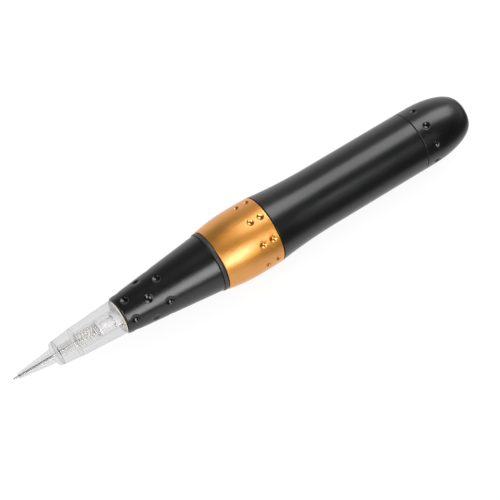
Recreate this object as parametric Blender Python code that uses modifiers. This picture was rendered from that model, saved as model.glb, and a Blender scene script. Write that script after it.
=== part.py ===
"""Rotary tattoo pen with a screw-in needle cartridge, as separate solids in metres.

The pen lies along X on the plane z = 0: needle tip at -X, rear cap at +X, origin under its middle.
Every piece is modelled in the frame of the empty "pen_axis", which sits on the needle's tip:
there z runs along the pen towards the rear, x points down and y points sideways.
Distances along the pen are counted from the needle's tip.
"""
import bmesh
import bpy
from math import asin, atan, ceil, cos, pi, radians, sin
from mathutils import Matrix, Vector

# Fits that hold everywhere
GAP = 0.0003                    # clearance between pieces that touch or slide
OVERRUN = 0.0004                # how far a cutter passes the face that it opens
SIDES = 36                      # facets round the casing
SHELL_SIDES = 28                # facets round the clear shell and its washer
INNER_SIDES = 20                # facets round the pieces inside
ROD_SIDES = 16                  # facets round shafts and bearings
SMALL_SIDES = 12                # facets round pins, screws and thin rods
SEAL_FACETS = 6                 # facets round the section of a rubber ring
DIMPLE_SIDES = 9
DIMPLE_RINGS = 7
CURL_POINTS = 9                 # points in each turn of a spring
FACING = radians(205.2)         # the side of the pen that looks at the viewer, about its axis

# Motion
NEEDLE_STROKE = 0.0020          # how far the needle runs back and forth
GRIP_TRAVEL = 0.0020            # how far the depth ring moves the grip

# Needle
NEEDLE_RADIUS = 0.00018
NEEDLE_POINT = 0.0012           # length of its taper
NEEDLE_SHOW = 0.0016            # length that stands out of the nozzle
NEEDLE_SEAT = 0.0034            # length held in the plunger

# Cartridge nozzle: cone, domed boss and the spigot behind it
NOZZLE_LENGTH = 0.0110
NOZZLE_TIP_WALL = 0.00031
NOZZLE_BASE_RADIUS = 0.00217
NOZZLE_BASE_BORE = 0.0011
BOSS_LENGTH = 0.0011
BOSS_RADIUS = 0.00355
BOSS_CORNER = 0.0008
NOZZLE_SPIGOT_RADIUS = 0.0015
NOZZLE_SPIGOT_LENGTH = 0.0050

# Cartridge shell: thick clear nose, then a wider body over the spring
SHELL_NOSE_LENGTH = 0.0055
SHELL_FRONT_RADIUS = 0.00365
SHELL_SHOULDER_RADIUS = 0.00420
SHELL_STEP = 0.00006            # small step where the nose meets the body
SHELL_REAR_RADIUS = 0.00512
CHAMBER_RADIUS = 0.0027
FLAT_DEPTH = 0.00057            # depth of the two finger flats at the shell's rear
FLAT_TURN = radians(-37)

# Cartridge spring and plunger
SPRING_SEAT_LENGTH = 0.0070     # room for the spring between its two seats
SPRING_RADIUS = 0.0019
SPRING_WIRE = 0.00038
SPRING_TURNS = 6.5
HUB_NOSE_RADIUS = 0.0012
HUB_NOSE_LENGTH = 0.0011
HUB_FLANGE_THICKNESS = 0.0006
STEM_RADIUS = 0.00125
HUB_STEM_LENGTH = 0.0168
HUB_SPIGOT_RADIUS = 0.0006
HUB_SPIGOT_LENGTH = 0.0030

# Cartridge's threaded bush, washer, rear cap and tail tube
BUSH_DEPTH = 0.0013             # how far the bush reaches into the shell
WASHER_THICKNESS = 0.0004
WASHER_INSET = 0.00005
BUSH_RADIUS = 0.0039
BUSH_LENGTH = 0.0078
BUSH_SPIGOT_RADIUS = 0.0022
BUSH_SPIGOT_LENGTH = 0.0020
CHAMFER = 0.0003
CARTRIDGE_CAP_RADIUS = 0.0036
CARTRIDGE_CAP_LENGTH = 0.0090
CARTRIDGE_CAP_CORNER = 0.0010

# Front grip
GRIP_LENGTH = 0.0289
GRIP_FRONT_WALL = 0.0013
GRIP_REAR_STEP = 0.00049        # from the grip's rear edge out to the depth ring's front edge
GRIP_EDGE = 0.0002
GRIP_DIMPLE_RADIUS = 0.00112
GRIP_DIMPLE_DEPTH = 0.00042
GRIP_ROW_PLACES = (0.0024, 0.0079, 0.0129)
GRIP_DIMPLES = 6                # dimples in each row
MOUTH_LENGTH = 0.0050           # narrow bore in front of the threaded insert
INSERT_WALL = 0.0007
INSERT_LENGTH = 0.0065
SKIRT_WALL = 0.0006             # threaded skirt that enters the ring
SKIRT_ROOM = 0.0025             # from the skirt's end to the barrel's spigot
GRIP_SEAL_LENGTH = 0.0008       # black rubber ring between grip and depth ring
GRIP_SEAL_HEIGHT = 0.0012

# Depth ring
RING_LENGTH = 0.0176
RING_WALL = 0.0011              # over the snap ring's chamber, where the ring is widest
RING_FRONT_DROP = 0.00115
RING_REAR_DROP = 0.00013
RING_CROWN_SHARE = 0.65         # where the ring is widest, as a share of its length
RING_FRONT_POWER = 2.1
RING_DIMPLE_RADIUS = 0.00098
RING_DIMPLE_DEPTH = 0.00042
RING_DIMPLE_INSETS = (0.0053, 0.0020)   # from the ring's rear edge
RING_DIMPLES = 9

# Barrel: spigot inside the ring, flare behind it, straight tube to the seam
SPIGOT_WALL = 0.0014
SPIGOT_LENGTH = 0.0094
CLIP_THICKNESS = 0.0007
CLIP_GROOVE_DEPTH = 0.0007
CLIP_PROUD = 0.0006             # how far the snap ring stands out of the spigot
CLIP_LAND = 0.0006
CLIP_OPENING = radians(60)
BARREL_FRONT_STEP = 0.00007     # from the depth ring's rear edge in to the barrel's front edge
BARREL_FLARE_LENGTH = 0.0200
BARREL_FLARE_POWER = 2.2
BARREL_WALL = 0.0010
THROAT_LENGTH = 0.0135          # narrow bore that holds the neck
TERMINAL_ROOM = 0.0023          # space between the motor and the rear cap's spigot

# Neck tube that carries the grip, and its key pin
NECK_WALL = 0.0009
NECK_NOSE = 0.0020              # neck in front of the key pin's hole
NECK_STEP = 0.0006              # step that the guide bush rests on
NECK_FLANGE_THICKNESS = 0.0012
NECK_FLANGE_PROUD = 0.0011
KEY_RADIUS = 0.0007
KEY_PROUD = 0.0007
KEY_END_WALL = 0.0005
KEY_SINK = 0.0008

# Drive: socket, push rod, guide bush, return spring and follower
SOCKET_RADIUS = 0.0024
SOCKET_DEPTH = 0.0040
SOCKET_FLOOR = 0.0008
SOCKET_ROD_DEPTH = 0.0023
ROD_RADIUS = 0.0012
GUIDE_LENGTH = 0.0055
RETURN_SEAT_LENGTH = 0.0062
RETURN_RADIUS = 0.0024
RETURN_WIRE = 0.00045
RETURN_TURNS = 5.0
FOLLOWER_RIM = 0.0005           # disc outside the button
FOLLOWER_THICKNESS = 0.0012
FOLLOWER_CLEARANCE = 0.0004     # round the disc, in the neck
FOLLOWER_BODY_WALL = 0.0005     # body outside the push rod's hole
FOLLOWER_BODY_LENGTH = 0.0017
BUTTON_CLEARANCE = 0.0004       # between the button and the follower's body
BUTTON_RADIUS = 0.0009
BUTTON_LENGTH = 0.0021
BUTTON_INSET = 0.0009           # from the button's face to the neck's rear face
BUTTON_STEM_RADIUS = 0.0004
GUIDE_PIN_RADIUS = 0.00035
GUIDE_PIN_SINK = 0.0014
GUIDE_PIN_PROUD = 0.0007

# Slanted cam and the motor plate
CAM_RIM = 0.0003                # cam outside the button
CAM_LENGTH = 0.0040             # at the axis
CAM_SCREW_RADIUS = 0.0007
CAM_SCREW_SHARE = 0.35          # where the set screw sits, as a share of the cam's length
CAM_SCREW_LENGTH = 0.0017
PLATE_CLEARANCE = 0.0007
PLATE_THICKNESS = 0.0015
PLATE_SCREW_OFFSET = 0.0052
SCREW_RADIUS = 0.0006
SCREW_HEAD_RADIUS = 0.0011
SCREW_HEAD_LENGTH = 0.0007
SCREW_SLOT = 0.0003

# Motor
CAN_CLEARANCE = 0.0005          # round the can, in the barrel
CAN_WALL = 0.0006
CAN_REAR_ROOM = 0.0038          # behind the commutator
CAN_BOSS_RADIUS = 0.0027
CAN_BOSS_LENGTH = 0.0013
SHAFT_RADIUS = 0.00075
BUSH_WALL = 0.0007
MAGNET_THICKNESS = 0.0011
MAGNET_LENGTH = 0.0190
MAGNET_INSET = 0.0020
MAGNET_ARC = radians(130)
AIR_GAP = 0.0006                # between the core and the magnets
CORE_LENGTH = 0.0130
CORE_INSET = 0.0048
CORE_POLES = 3
CORE_HUB_RADIUS = 0.0019
CORE_ARM = 0.0018
CORE_SHOE = 0.0008
CORE_SHOE_ARC = radians(92)
WINDING_RADIUS = 0.00045
COMMUTATOR_RADIUS = 0.0017
COMMUTATOR_LENGTH = 0.0026
COMMUTATOR_GAP = 0.0018
BRUSH_THICKNESS = 0.0003
BRUSH_WIDTH = 0.0014
END_CAP_LENGTH = 0.0020
END_SPIGOT_LENGTH = 0.0018
TERMINAL_OFFSET = 0.0042
TERMINAL_THICKNESS = 0.0004
TERMINAL_WIDTH = 0.0016
TERMINAL_SHOW = 0.0036
TERMINAL_INNER = 0.0006

# Rear cap and jack
CAP_STRAIGHT = 0.0034           # straight part before the dome
CAP_DOME = 0.0145
CAP_FLAT_RADIUS = 0.0036
CAP_SPIGOT_LENGTH = 0.0044
CAP_SPIGOT_WALL = 0.0016
CAP_DIMPLE_PLACE = 0.0033
CAP_DIMPLE_RADIUS = 0.00105
CAP_DIMPLE_DEPTH = 0.00045
CAP_DIMPLES = 9
CAP_FIRST_DIMPLE = radians(-8)
CAP_REAR_WALL = 0.0014
CAP_HOLE_RADIUS = 0.0020
CAP_SEAL_WIRE = 0.0009
CAP_SEAL_PLACE = 0.0016         # behind the spigot's front edge
JACK_RADIUS = 0.0043
JACK_LENGTH = 0.0120
JACK_BORE = 0.0018
JACK_FLOOR = 0.0012
JACK_SLEEVE_WALL = 0.0003
JACK_SLEEVE_LENGTH = 0.0032
TAG_OFFSET = 0.0030
TAG_THICKNESS = 0.0004
TAG_WIDTH = 0.0014
TAG_SHOW = 0.0030
TAG_REACH = 0.0060
WIRE_RADIUS = 0.00045
WIRE_SAG = 0.0012
WIRE_POINTS = 12

# Radii of the cartridge and the grip's mouth, from the needle outwards
NOZZLE_BORE = NEEDLE_RADIUS + GAP
NOSE_BORE = NOZZLE_SPIGOT_RADIUS + GAP
PLUG_RADIUS = CHAMBER_RADIUS - GAP
STEM_BORE = STEM_RADIUS + GAP
FLAT_DISTANCE = SHELL_REAR_RADIUS - FLAT_DEPTH
MOUTH_BORE = BUSH_RADIUS + GAP
INSERT_RADIUS = MOUTH_BORE + INSERT_WALL
INSERT_BORE = INSERT_RADIUS + GAP
GRIP_FRONT_RADIUS = MOUTH_BORE + GRIP_FRONT_WALL

# Radii of the drive, the neck and the casing, from the push rod outwards
FOLLOWER_BODY_RADIUS = ROD_RADIUS + GAP + FOLLOWER_BODY_WALL
BUTTON_OFFSET = FOLLOWER_BODY_RADIUS + BUTTON_CLEARANCE + BUTTON_RADIUS
FOLLOWER_RADIUS = BUTTON_OFFSET + BUTTON_RADIUS + FOLLOWER_RIM
CAM_RADIUS = BUTTON_OFFSET + BUTTON_RADIUS + CAM_RIM
NECK_REAR_BORE = FOLLOWER_RADIUS + FOLLOWER_CLEARANCE
NECK_BORE = NECK_REAR_BORE + NECK_STEP
NECK_RADIUS = NECK_BORE + NECK_WALL
NECK_FLANGE_RADIUS = NECK_RADIUS + NECK_FLANGE_PROUD
NECK_SLIDE = NECK_RADIUS + GAP
SKIRT_RADIUS = NECK_SLIDE + SKIRT_WALL
SPIGOT_RADIUS = NECK_SLIDE + SPIGOT_WALL
CLIP_RADIUS = SPIGOT_RADIUS + CLIP_PROUD
CLIP_FLOOR = SPIGOT_RADIUS - CLIP_GROOVE_DEPTH
CLIP_CHAMBER = CLIP_RADIUS + GAP
RING_THREAD = SKIRT_RADIUS + GAP
RING_JOURNAL = SPIGOT_RADIUS + GAP
RING_RADIUS = CLIP_CHAMBER + RING_WALL
RING_FRONT_RADIUS = RING_RADIUS - RING_FRONT_DROP
RING_REAR_RADIUS = RING_RADIUS - RING_REAR_DROP
GRIP_REAR_RADIUS = RING_FRONT_RADIUS - GRIP_REAR_STEP
BARREL_BORE = NECK_FLANGE_RADIUS + GAP
BARREL_RADIUS = BARREL_BORE + BARREL_WALL
BARREL_FRONT_RADIUS = RING_REAR_RADIUS - BARREL_FRONT_STEP
AXIS_HEIGHT = RING_RADIUS * cos(pi / SIDES)

# Radii of the motor, the rear cap and the jack
CAN_RADIUS = BARREL_BORE - CAN_CLEARANCE
CAN_BORE = CAN_RADIUS - CAN_WALL
MAGNET_OUTER = CAN_BORE - GAP
MAGNET_INNER = MAGNET_OUTER - MAGNET_THICKNESS
CORE_RADIUS = MAGNET_INNER - AIR_GAP
SHAFT_BORE = SHAFT_RADIUS + GAP
BEARING_RADIUS = SHAFT_BORE + BUSH_WALL
BEARING_SEAT = BEARING_RADIUS + GAP
CAP_SPIGOT_RADIUS = BARREL_BORE - GAP
CAP_SPIGOT_BORE = CAP_SPIGOT_RADIUS - CAP_SPIGOT_WALL
JACK_SEAT = JACK_RADIUS + GAP

# Stations along the pen, in the order of assembly; the drive is worked back from the neck
NOZZLE_X = NEEDLE_SHOW
BOSS_X = NOZZLE_X + NOZZLE_LENGTH
BOSS_END = BOSS_X + BOSS_LENGTH
SHELL_X = BOSS_END + GAP
CHAMBER_X = SHELL_X + SHELL_NOSE_LENGTH
FLANGE_X = CHAMBER_X + SPRING_SEAT_LENGTH
FLANGE_END = FLANGE_X + HUB_FLANGE_THICKNESS
BUSH_X = FLANGE_END + GRIP_TRAVEL + NEEDLE_STROKE + GAP
SHELL_END = BUSH_X + BUSH_DEPTH
WASHER_X = SHELL_END + GAP
GRIP_X = WASHER_X + WASHER_THICKNESS + GAP
BUSH_END = GRIP_X + BUSH_LENGTH
CARTRIDGE_CAP_X = BUSH_END + GAP
CARTRIDGE_END = CARTRIDGE_CAP_X + CARTRIDGE_CAP_LENGTH
STEM_END = FLANGE_END + HUB_STEM_LENGTH
SKIRT_X = GRIP_X + GRIP_LENGTH
RING_X = SKIRT_X + GAP + GRIP_SEAL_LENGTH + GAP
RING_END = RING_X + RING_LENGTH
BARREL_X = RING_END + GAP
SPIGOT_X = BARREL_X - SPIGOT_LENGTH
SKIRT_END = SPIGOT_X - SKIRT_ROOM
INSERT_X = GRIP_X + MOUTH_LENGTH + GAP
THROAT_END = SPIGOT_X + THROAT_LENGTH
NECK_END = THROAT_END + GAP + NECK_FLANGE_THICKNESS
KEY_X = SKIRT_X - KEY_END_WALL - GRIP_TRAVEL - KEY_RADIUS - GAP
NECK_X = KEY_X - KEY_RADIUS - GAP - NECK_NOSE
BUTTON_END = NECK_END - BUTTON_INSET
FOLLOWER_END = BUTTON_END - BUTTON_LENGTH - GAP
FOLLOWER_X = FOLLOWER_END - FOLLOWER_THICKNESS
GUIDE_END = FOLLOWER_X - RETURN_SEAT_LENGTH
GUIDE_X = GUIDE_END - GUIDE_LENGTH
SOCKET_END = GUIDE_X - GAP - NEEDLE_STROKE
ROD_X = SOCKET_END - SOCKET_ROD_DEPTH
TAIL_END = ROD_X - GAP - SOCKET_FLOOR - GAP
SOCKET_X = TAIL_END - SOCKET_DEPTH
CAM_HIGH_X = BUTTON_END + NEEDLE_STROKE + GAP
CAM_SLOPE = NEEDLE_STROKE / (2 * BUTTON_OFFSET)
CAM_X = CAM_HIGH_X + CAM_RADIUS * CAM_SLOPE
CAM_END = CAM_X + CAM_LENGTH
SCREW_HEAD_X = CAM_END + PLATE_CLEARANCE
PLATE_X = SCREW_HEAD_X + SCREW_HEAD_LENGTH + GAP
PLATE_END = PLATE_X + PLATE_THICKNESS
CAN_X = PLATE_END + GAP
CORE_X = CAN_X + CORE_INSET
COMMUTATOR_X = CORE_X + CORE_LENGTH + COMMUTATOR_GAP
CAN_END = COMMUTATOR_X + COMMUTATOR_LENGTH + CAN_REAR_ROOM
END_CAP_X = CAN_END + GAP
MOTOR_END = END_CAP_X + END_CAP_LENGTH
CAP_SPIGOT_X = MOTOR_END + TERMINAL_ROOM
BARREL_END = CAP_SPIGOT_X + CAP_SPIGOT_LENGTH
CAP_X = BARREL_END + GAP
DOME_X = CAP_X + CAP_STRAIGHT
PEN_LENGTH = DOME_X + CAP_DOME
JACK_END = PEN_LENGTH - CAP_REAR_WALL - GAP
JACK_X = JACK_END - JACK_LENGTH

# Start from an empty file and make the two collections and the empties
for old in list(bpy.data.objects):
    bpy.data.objects.remove(old)
PEN = bpy.data.collections.new("tattoo_pen")
CUTTERS = bpy.data.collections.new("cutters")
bpy.context.scene.collection.children.link(PEN)
bpy.context.scene.collection.children.link(CUTTERS)


def empty(name, parent=None):
    """An empty that carries the pieces of one body."""
    item = bpy.data.objects.new(name, None)
    PEN.objects.link(item)
    item.parent = parent
    return item


pen_axis = empty("pen_axis")
pen_axis.location = (-PEN_LENGTH / 2, 0, AXIS_HEIGHT)
pen_axis.rotation_euler = (0, pi / 2, 0)
handpiece = empty("handpiece", pen_axis)
ring_turn = empty("ring_turn", pen_axis)
grip_slide = empty("grip_slide", pen_axis)
needle_slide = empty("needle_slide", pen_axis)
rotor_turn = empty("rotor_turn", pen_axis)


def finish(name, color, roughness, metallic=0.0, alpha=1.0):
    """A Principled BSDF material."""
    material = bpy.data.materials.new(name)
    material.use_nodes = True
    shader = material.node_tree.nodes["Principled BSDF"]
    shader.inputs["Base Color"].default_value = (*color, 1)
    shader.inputs["Roughness"].default_value = roughness
    shader.inputs["Metallic"].default_value = metallic
    shader.inputs["Alpha"].default_value = alpha
    return material


BLACK_ANODISED = finish("black_anodised", (0.02, 0.02, 0.022), 0.42, 0.6)
GOLD_ANODISED = finish("gold_anodised", (0.83, 0.47, 0.12), 0.35, 1.0)
CLEAR_PLASTIC = finish("clear_plastic", (0.9, 0.9, 0.92), 0.08, 0.0, 0.35)
WHITE_PLASTIC = finish("white_plastic", (0.86, 0.85, 0.84), 0.35)
CREAM_RUBBER = finish("cream_rubber", (0.83, 0.77, 0.64), 0.6)
BLACK_RUBBER = finish("black_rubber", (0.015, 0.015, 0.015), 0.7)
BLACK_PLASTIC = finish("black_plastic", (0.03, 0.03, 0.03), 0.5)
STEEL = finish("steel", (0.62, 0.62, 0.64), 0.25, 1.0)
SPRING_STEEL = finish("spring_steel", (0.5, 0.5, 0.52), 0.3, 1.0)
BRASS = finish("brass", (0.75, 0.58, 0.28), 0.3, 1.0)
BRONZE = finish("bronze", (0.55, 0.36, 0.2), 0.45, 1.0)
COPPER = finish("copper", (0.72, 0.34, 0.18), 0.35, 1.0)
FERRITE = finish("ferrite", (0.09, 0.09, 0.1), 0.8)
IRON = finish("core_iron", (0.35, 0.35, 0.37), 0.5, 1.0)
PLATED_CAN = finish("plated_can", (0.66, 0.66, 0.66), 0.35, 1.0)
ALUMINIUM = finish("aluminium", (0.72, 0.72, 0.74), 0.35, 1.0)
RED_WIRE = finish("red_wire", (0.6, 0.03, 0.03), 0.5)
BLACK_WIRE = finish("black_wire", (0.02, 0.02, 0.02), 0.5)


def add(item, parent, material=None):
    """Link a piece, or a cutter where it has no material, and parent it."""
    if material is None:
        CUTTERS.objects.link(item)
        item.hide_render = True
        item.display_type = "WIRE"
    else:
        PEN.objects.link(item)
        item.data.materials.append(material)
    item.parent = parent
    return item


def turned(name, outline, parent, material=None, sides=INNER_SIDES, place=(0, 0, 0)):
    """Turn (distance along the pen, radius) points round the axis.

    The points run along the outside from rear to front and back along the bore.
    An outline that starts and ends on the axis is left open, any other is closed.
    """
    count = len(outline)
    solid = outline[0][1] == 0
    edges = [(i, i + 1) for i in range(count - 1)]
    if not solid:
        edges.append((count - 1, 0))
    mesh = bpy.data.meshes.new(name)
    mesh.from_pydata([(radius, 0, along) for along, radius in outline], edges, [])
    item = add(bpy.data.objects.new(name, mesh), parent, material)
    item.location = place
    item.rotation_euler = (0, 0, pi / sides)
    screw = item.modifiers.new("turn", "SCREW")
    screw.steps = screw.render_steps = sides
    screw.use_merge_vertices = True
    screw.merge_threshold = 0.00001
    screw.use_smooth_shade = True
    return item


def sleeve(outside, bore):
    """The closed outline of a turned piece with a bore, both given front to rear."""
    return list(reversed(outside)) + list(bore)


def core(outside):
    """The outline of a turned piece with no bore, given front to rear."""
    return [(outside[-1][0], 0)] + list(reversed(outside)) + [(outside[0][0], 0)]


def span(start, end, radius):
    """Two outline points at one radius."""
    return [(start, radius), (end, radius)]


def around(angle, radius, along=0.0):
    """The point at an angle about the pen's axis."""
    return Vector((radius * cos(angle), radius * sin(angle), along))


def rod(name, start, end, radius, parent, material=None, sides=SMALL_SIDES):
    """A plain cylinder between two points."""
    start, end = Vector(start), Vector(end)
    bpy.ops.mesh.primitive_cylinder_add(vertices=sides, radius=radius, depth=(end - start).length)
    item = bpy.context.object
    item.name = item.data.name = name
    bpy.context.collection.objects.unlink(item)
    add(item, parent, material)
    item.location = (start + end) / 2
    item.rotation_euler = (end - start).to_track_quat("Z", "Y").to_euler()
    return item


def block(name, size, place, parent, material=None, angle=0.0, tilt=0.0):
    """A box turned by an angle about the pen's axis, and tilted about its own y axis."""
    bpy.ops.mesh.primitive_cube_add(size=1)
    item = bpy.context.object
    item.name = item.data.name = name
    bpy.context.collection.objects.unlink(item)
    item.data.transform(Matrix.Diagonal((*size, 1)))
    add(item, parent, material)
    item.location = place
    item.rotation_euler = (0, tilt, angle)
    return item


def extruded(name, outlines, start, end, parent, material, angle=0.0):
    """A flat outline, with any holes after it, extruded along the pen."""
    curve = bpy.data.curves.new(name, "CURVE")
    curve.dimensions = "2D"
    curve.fill_mode = "BOTH"
    curve.extrude = (end - start) / 2
    for outline in outlines:
        spline = curve.splines.new("POLY")
        spline.points.add(len(outline) - 1)
        for point, (x, y) in zip(spline.points, outline):
            point.co = (x, y, 0, 1)
        spline.use_cyclic_u = True
    item = add(bpy.data.objects.new(name, curve), parent, material)
    item.location = (0, 0, (start + end) / 2)
    item.rotation_euler = (0, 0, angle)
    return item


def wire(name, points, radius, parent, material, closed=False):
    """A round wire along points."""
    curve = bpy.data.curves.new(name, "CURVE")
    curve.dimensions = "3D"
    curve.bevel_depth = radius
    curve.bevel_resolution = 1
    curve.use_fill_caps = True
    spline = curve.splines.new("POLY")
    spline.points.add(len(points) - 1)
    for point, place in zip(spline.points, points):
        point.co = (*place, 1)
    spline.use_cyclic_u = closed
    return add(bpy.data.objects.new(name, curve), parent, material)


def cut(item, cutter):
    """Take a cutter out of a piece."""
    boolean = item.modifiers.new(cutter.name, "BOOLEAN")
    boolean.operation = "DIFFERENCE"
    boolean.object = cutter


def across(radius, turn):
    """A point of a flat outline across the pen's axis."""
    return radius * cos(turn), radius * sin(turn)


def arc(radius, start, end, steps):
    """Points of a circular arc across the pen's axis."""
    return [across(radius, start + (end - start) * i / steps) for i in range(steps + 1)]


def dimples(name, places, radius, depth, parent):
    """One cutter of shallow balls, each at (angle, surface radius, distance along the pen)."""
    ball = (radius ** 2 + depth ** 2) / (2 * depth)
    shape = bmesh.new()
    for angle, surface, along in places:
        centre = Matrix.Translation(around(angle, surface + ball - depth, along))
        outwards = Matrix.Rotation(angle, 4, "Z") @ Matrix.Rotation(pi / 2, 4, "Y")
        bmesh.ops.create_uvsphere(
            shape, u_segments=DIMPLE_SIDES, v_segments=DIMPLE_RINGS, radius=ball, matrix=centre @ outwards,
        )
    mesh = bpy.data.meshes.new(name)
    shape.to_mesh(mesh)
    shape.free()
    return add(bpy.data.objects.new(name, mesh), parent)


def helix(start, end, radius, thickness, turns):
    """Points of an unbroken spring wire, its ends straight along the axis for one wire diameter."""
    count = ceil(turns * CURL_POINTS)
    bottom, top = start + GAP, end - GAP
    low, high = bottom + thickness, top - thickness
    points = [around(0, radius, bottom)]
    for i in range(count + 1):
        share = i / count
        points.append(around(2 * pi * turns * share, radius, low + (high - low) * share))
    points.append(around(2 * pi * turns, radius, top))
    clear = min(
        (a - b).length
        for i, a in enumerate(points)
        for b in points[i + CURL_POINTS // 2:]
    )
    print("least gap between the wire's turns, mm", round((clear - thickness) * 1000, 3))
    return points


# Cartridge: steel needle, clear nozzle, clear shell
turned("needle", core([
    (0, NEEDLE_RADIUS / 10),
    (NEEDLE_POINT, NEEDLE_RADIUS),
    (FLANGE_X - HUB_NOSE_LENGTH + NEEDLE_SEAT - GAP, NEEDLE_RADIUS),
]), needle_slide, STEEL, SMALL_SIDES)

boss_arc = [
    (BOSS_X + BOSS_CORNER * (1 - cos(turn)), BOSS_RADIUS - BOSS_CORNER * (1 - sin(turn)))
    for turn in (0, pi / 6, pi / 3, pi / 2)
]
turned("cartridge_nozzle", sleeve(
    [
        (NOZZLE_X, NOZZLE_BORE + NOZZLE_TIP_WALL),
        (BOSS_X, NOZZLE_BASE_RADIUS),
        *boss_arc,
        (BOSS_END, BOSS_RADIUS),
        *span(BOSS_END, BOSS_END + NOZZLE_SPIGOT_LENGTH, NOZZLE_SPIGOT_RADIUS),
    ],
    [
        (NOZZLE_X, NOZZLE_BORE),
        (BOSS_X, NOZZLE_BASE_BORE),
        (BOSS_END + NOZZLE_SPIGOT_LENGTH, NOZZLE_BASE_BORE),
    ],
), grip_slide, CLEAR_PLASTIC)

shell = turned("cartridge_shell", sleeve(
    [
        (SHELL_X, SHELL_FRONT_RADIUS),
        (CHAMBER_X, SHELL_SHOULDER_RADIUS),
        (CHAMBER_X, SHELL_SHOULDER_RADIUS + SHELL_STEP),
        (SHELL_END, SHELL_REAR_RADIUS),
    ],
    span(SHELL_X, CHAMBER_X, NOSE_BORE) + span(CHAMBER_X, SHELL_END, CHAMBER_RADIUS),
), grip_slide, CLEAR_PLASTIC, SHELL_SIDES)
for side in (0, 1):
    angle = FACING + FLAT_TURN + side * pi
    flat_depth = SHELL_REAR_RADIUS - FLAT_DISTANCE + OVERRUN
    cut(shell, block(
        f"finger_flat_{side}",
        (flat_depth, 2 * SHELL_REAR_RADIUS, SHELL_END - CHAMBER_X + OVERRUN),
        around(angle, FLAT_DISTANCE + flat_depth / 2, (SHELL_END + CHAMBER_X + OVERRUN) / 2),
        grip_slide, angle=angle,
    ))

# Cartridge spring, plunger, tail tube
wire(
    "cartridge_spring",
    helix(CHAMBER_X, FLANGE_X, SPRING_RADIUS, SPRING_WIRE, SPRING_TURNS),
    SPRING_WIRE / 2, needle_slide, SPRING_STEEL,
)
turned("needle_hub", [
    (STEM_END + HUB_SPIGOT_LENGTH, 0),
    (STEM_END + HUB_SPIGOT_LENGTH, HUB_SPIGOT_RADIUS),
    (STEM_END, HUB_SPIGOT_RADIUS),
    (STEM_END, STEM_RADIUS),
    (FLANGE_END, STEM_RADIUS),
    (FLANGE_END, PLUG_RADIUS),
    (FLANGE_X, PLUG_RADIUS),
    (FLANGE_X, HUB_NOSE_RADIUS),
    (FLANGE_X - HUB_NOSE_LENGTH, HUB_NOSE_RADIUS),
    (FLANGE_X - HUB_NOSE_LENGTH, NOZZLE_BORE),
    (FLANGE_X - HUB_NOSE_LENGTH + NEEDLE_SEAT, NOZZLE_BORE),
    (FLANGE_X - HUB_NOSE_LENGTH + NEEDLE_SEAT, 0),
], needle_slide, WHITE_PLASTIC)
TAIL_FLOOR_X = STEM_END + HUB_SPIGOT_LENGTH + GAP
turned("tail_tube", [
    (TAIL_END, 0),
    (TAIL_END, STEM_RADIUS),
    (STEM_END + GAP, STEM_RADIUS),
    (STEM_END + GAP, HUB_SPIGOT_RADIUS + GAP),
    (TAIL_FLOOR_X, HUB_SPIGOT_RADIUS + GAP),
    (TAIL_FLOOR_X, 0),
], needle_slide, WHITE_PLASTIC, ROD_SIDES)

# Cartridge bush, washer and rear cap
turned("cartridge_bush", sleeve(
    [
        *span(BUSH_X, GRIP_X, PLUG_RADIUS),
        (GRIP_X, BUSH_RADIUS - CHAMFER),
        (GRIP_X + CHAMFER, BUSH_RADIUS),
        (BUSH_END - CHAMFER, BUSH_RADIUS),
        (BUSH_END, BUSH_RADIUS - CHAMFER),
        *span(BUSH_END, BUSH_END + BUSH_SPIGOT_LENGTH, BUSH_SPIGOT_RADIUS),
    ],
    span(BUSH_X, BUSH_END + BUSH_SPIGOT_LENGTH, STEM_BORE),
), grip_slide, WHITE_PLASTIC)
turned("cartridge_washer", sleeve(
    span(WASHER_X, WASHER_X + WASHER_THICKNESS, SHELL_REAR_RADIUS - WASHER_INSET),
    span(WASHER_X, WASHER_X + WASHER_THICKNESS, CHAMBER_RADIUS),
), grip_slide, CREAM_RUBBER, SHELL_SIDES)
turned("cartridge_rear_cap", sleeve(
    [
        *span(CARTRIDGE_CAP_X, CARTRIDGE_END - CARTRIDGE_CAP_CORNER, CARTRIDGE_CAP_RADIUS),
        (CARTRIDGE_END, CARTRIDGE_CAP_RADIUS - CARTRIDGE_CAP_CORNER),
    ],
    [
        *span(CARTRIDGE_CAP_X, BUSH_END + BUSH_SPIGOT_LENGTH + GAP, BUSH_SPIGOT_RADIUS + GAP),
        *span(BUSH_END + BUSH_SPIGOT_LENGTH + GAP, CARTRIDGE_END, STEM_BORE),
    ],
), grip_slide, WHITE_PLASTIC)

# Front grip with its dimples and key slot, the brass insert and the rubber ring
GRIP_SLOPE = (GRIP_REAR_RADIUS - GRIP_FRONT_RADIUS) / GRIP_LENGTH
NECK_ROOM_X = NECK_X - GAP
grip = turned("front_grip", sleeve(
    [
        (GRIP_X, GRIP_FRONT_RADIUS - GRIP_EDGE),
        (GRIP_X + GRIP_EDGE, GRIP_FRONT_RADIUS + GRIP_EDGE * GRIP_SLOPE),
        (SKIRT_X - GRIP_EDGE, GRIP_REAR_RADIUS - GRIP_EDGE * GRIP_SLOPE),
        (SKIRT_X, GRIP_REAR_RADIUS - GRIP_EDGE),
        *span(SKIRT_X, SKIRT_END, SKIRT_RADIUS),
    ],
    [
        *span(GRIP_X, INSERT_X - GAP, MOUTH_BORE),
        *span(INSERT_X - GAP, NECK_ROOM_X, INSERT_BORE),
        *span(NECK_ROOM_X, SKIRT_END, NECK_SLIDE),
    ],
), grip_slide, BLACK_ANODISED, SIDES)
grip_places = [
    (FACING + (2 * i + 1 - row % 2) * pi / GRIP_DIMPLES, GRIP_FRONT_RADIUS + place * GRIP_SLOPE, GRIP_X + place)
    for row, place in enumerate(GRIP_ROW_PLACES)
    for i in range(GRIP_DIMPLES)
]
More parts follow.
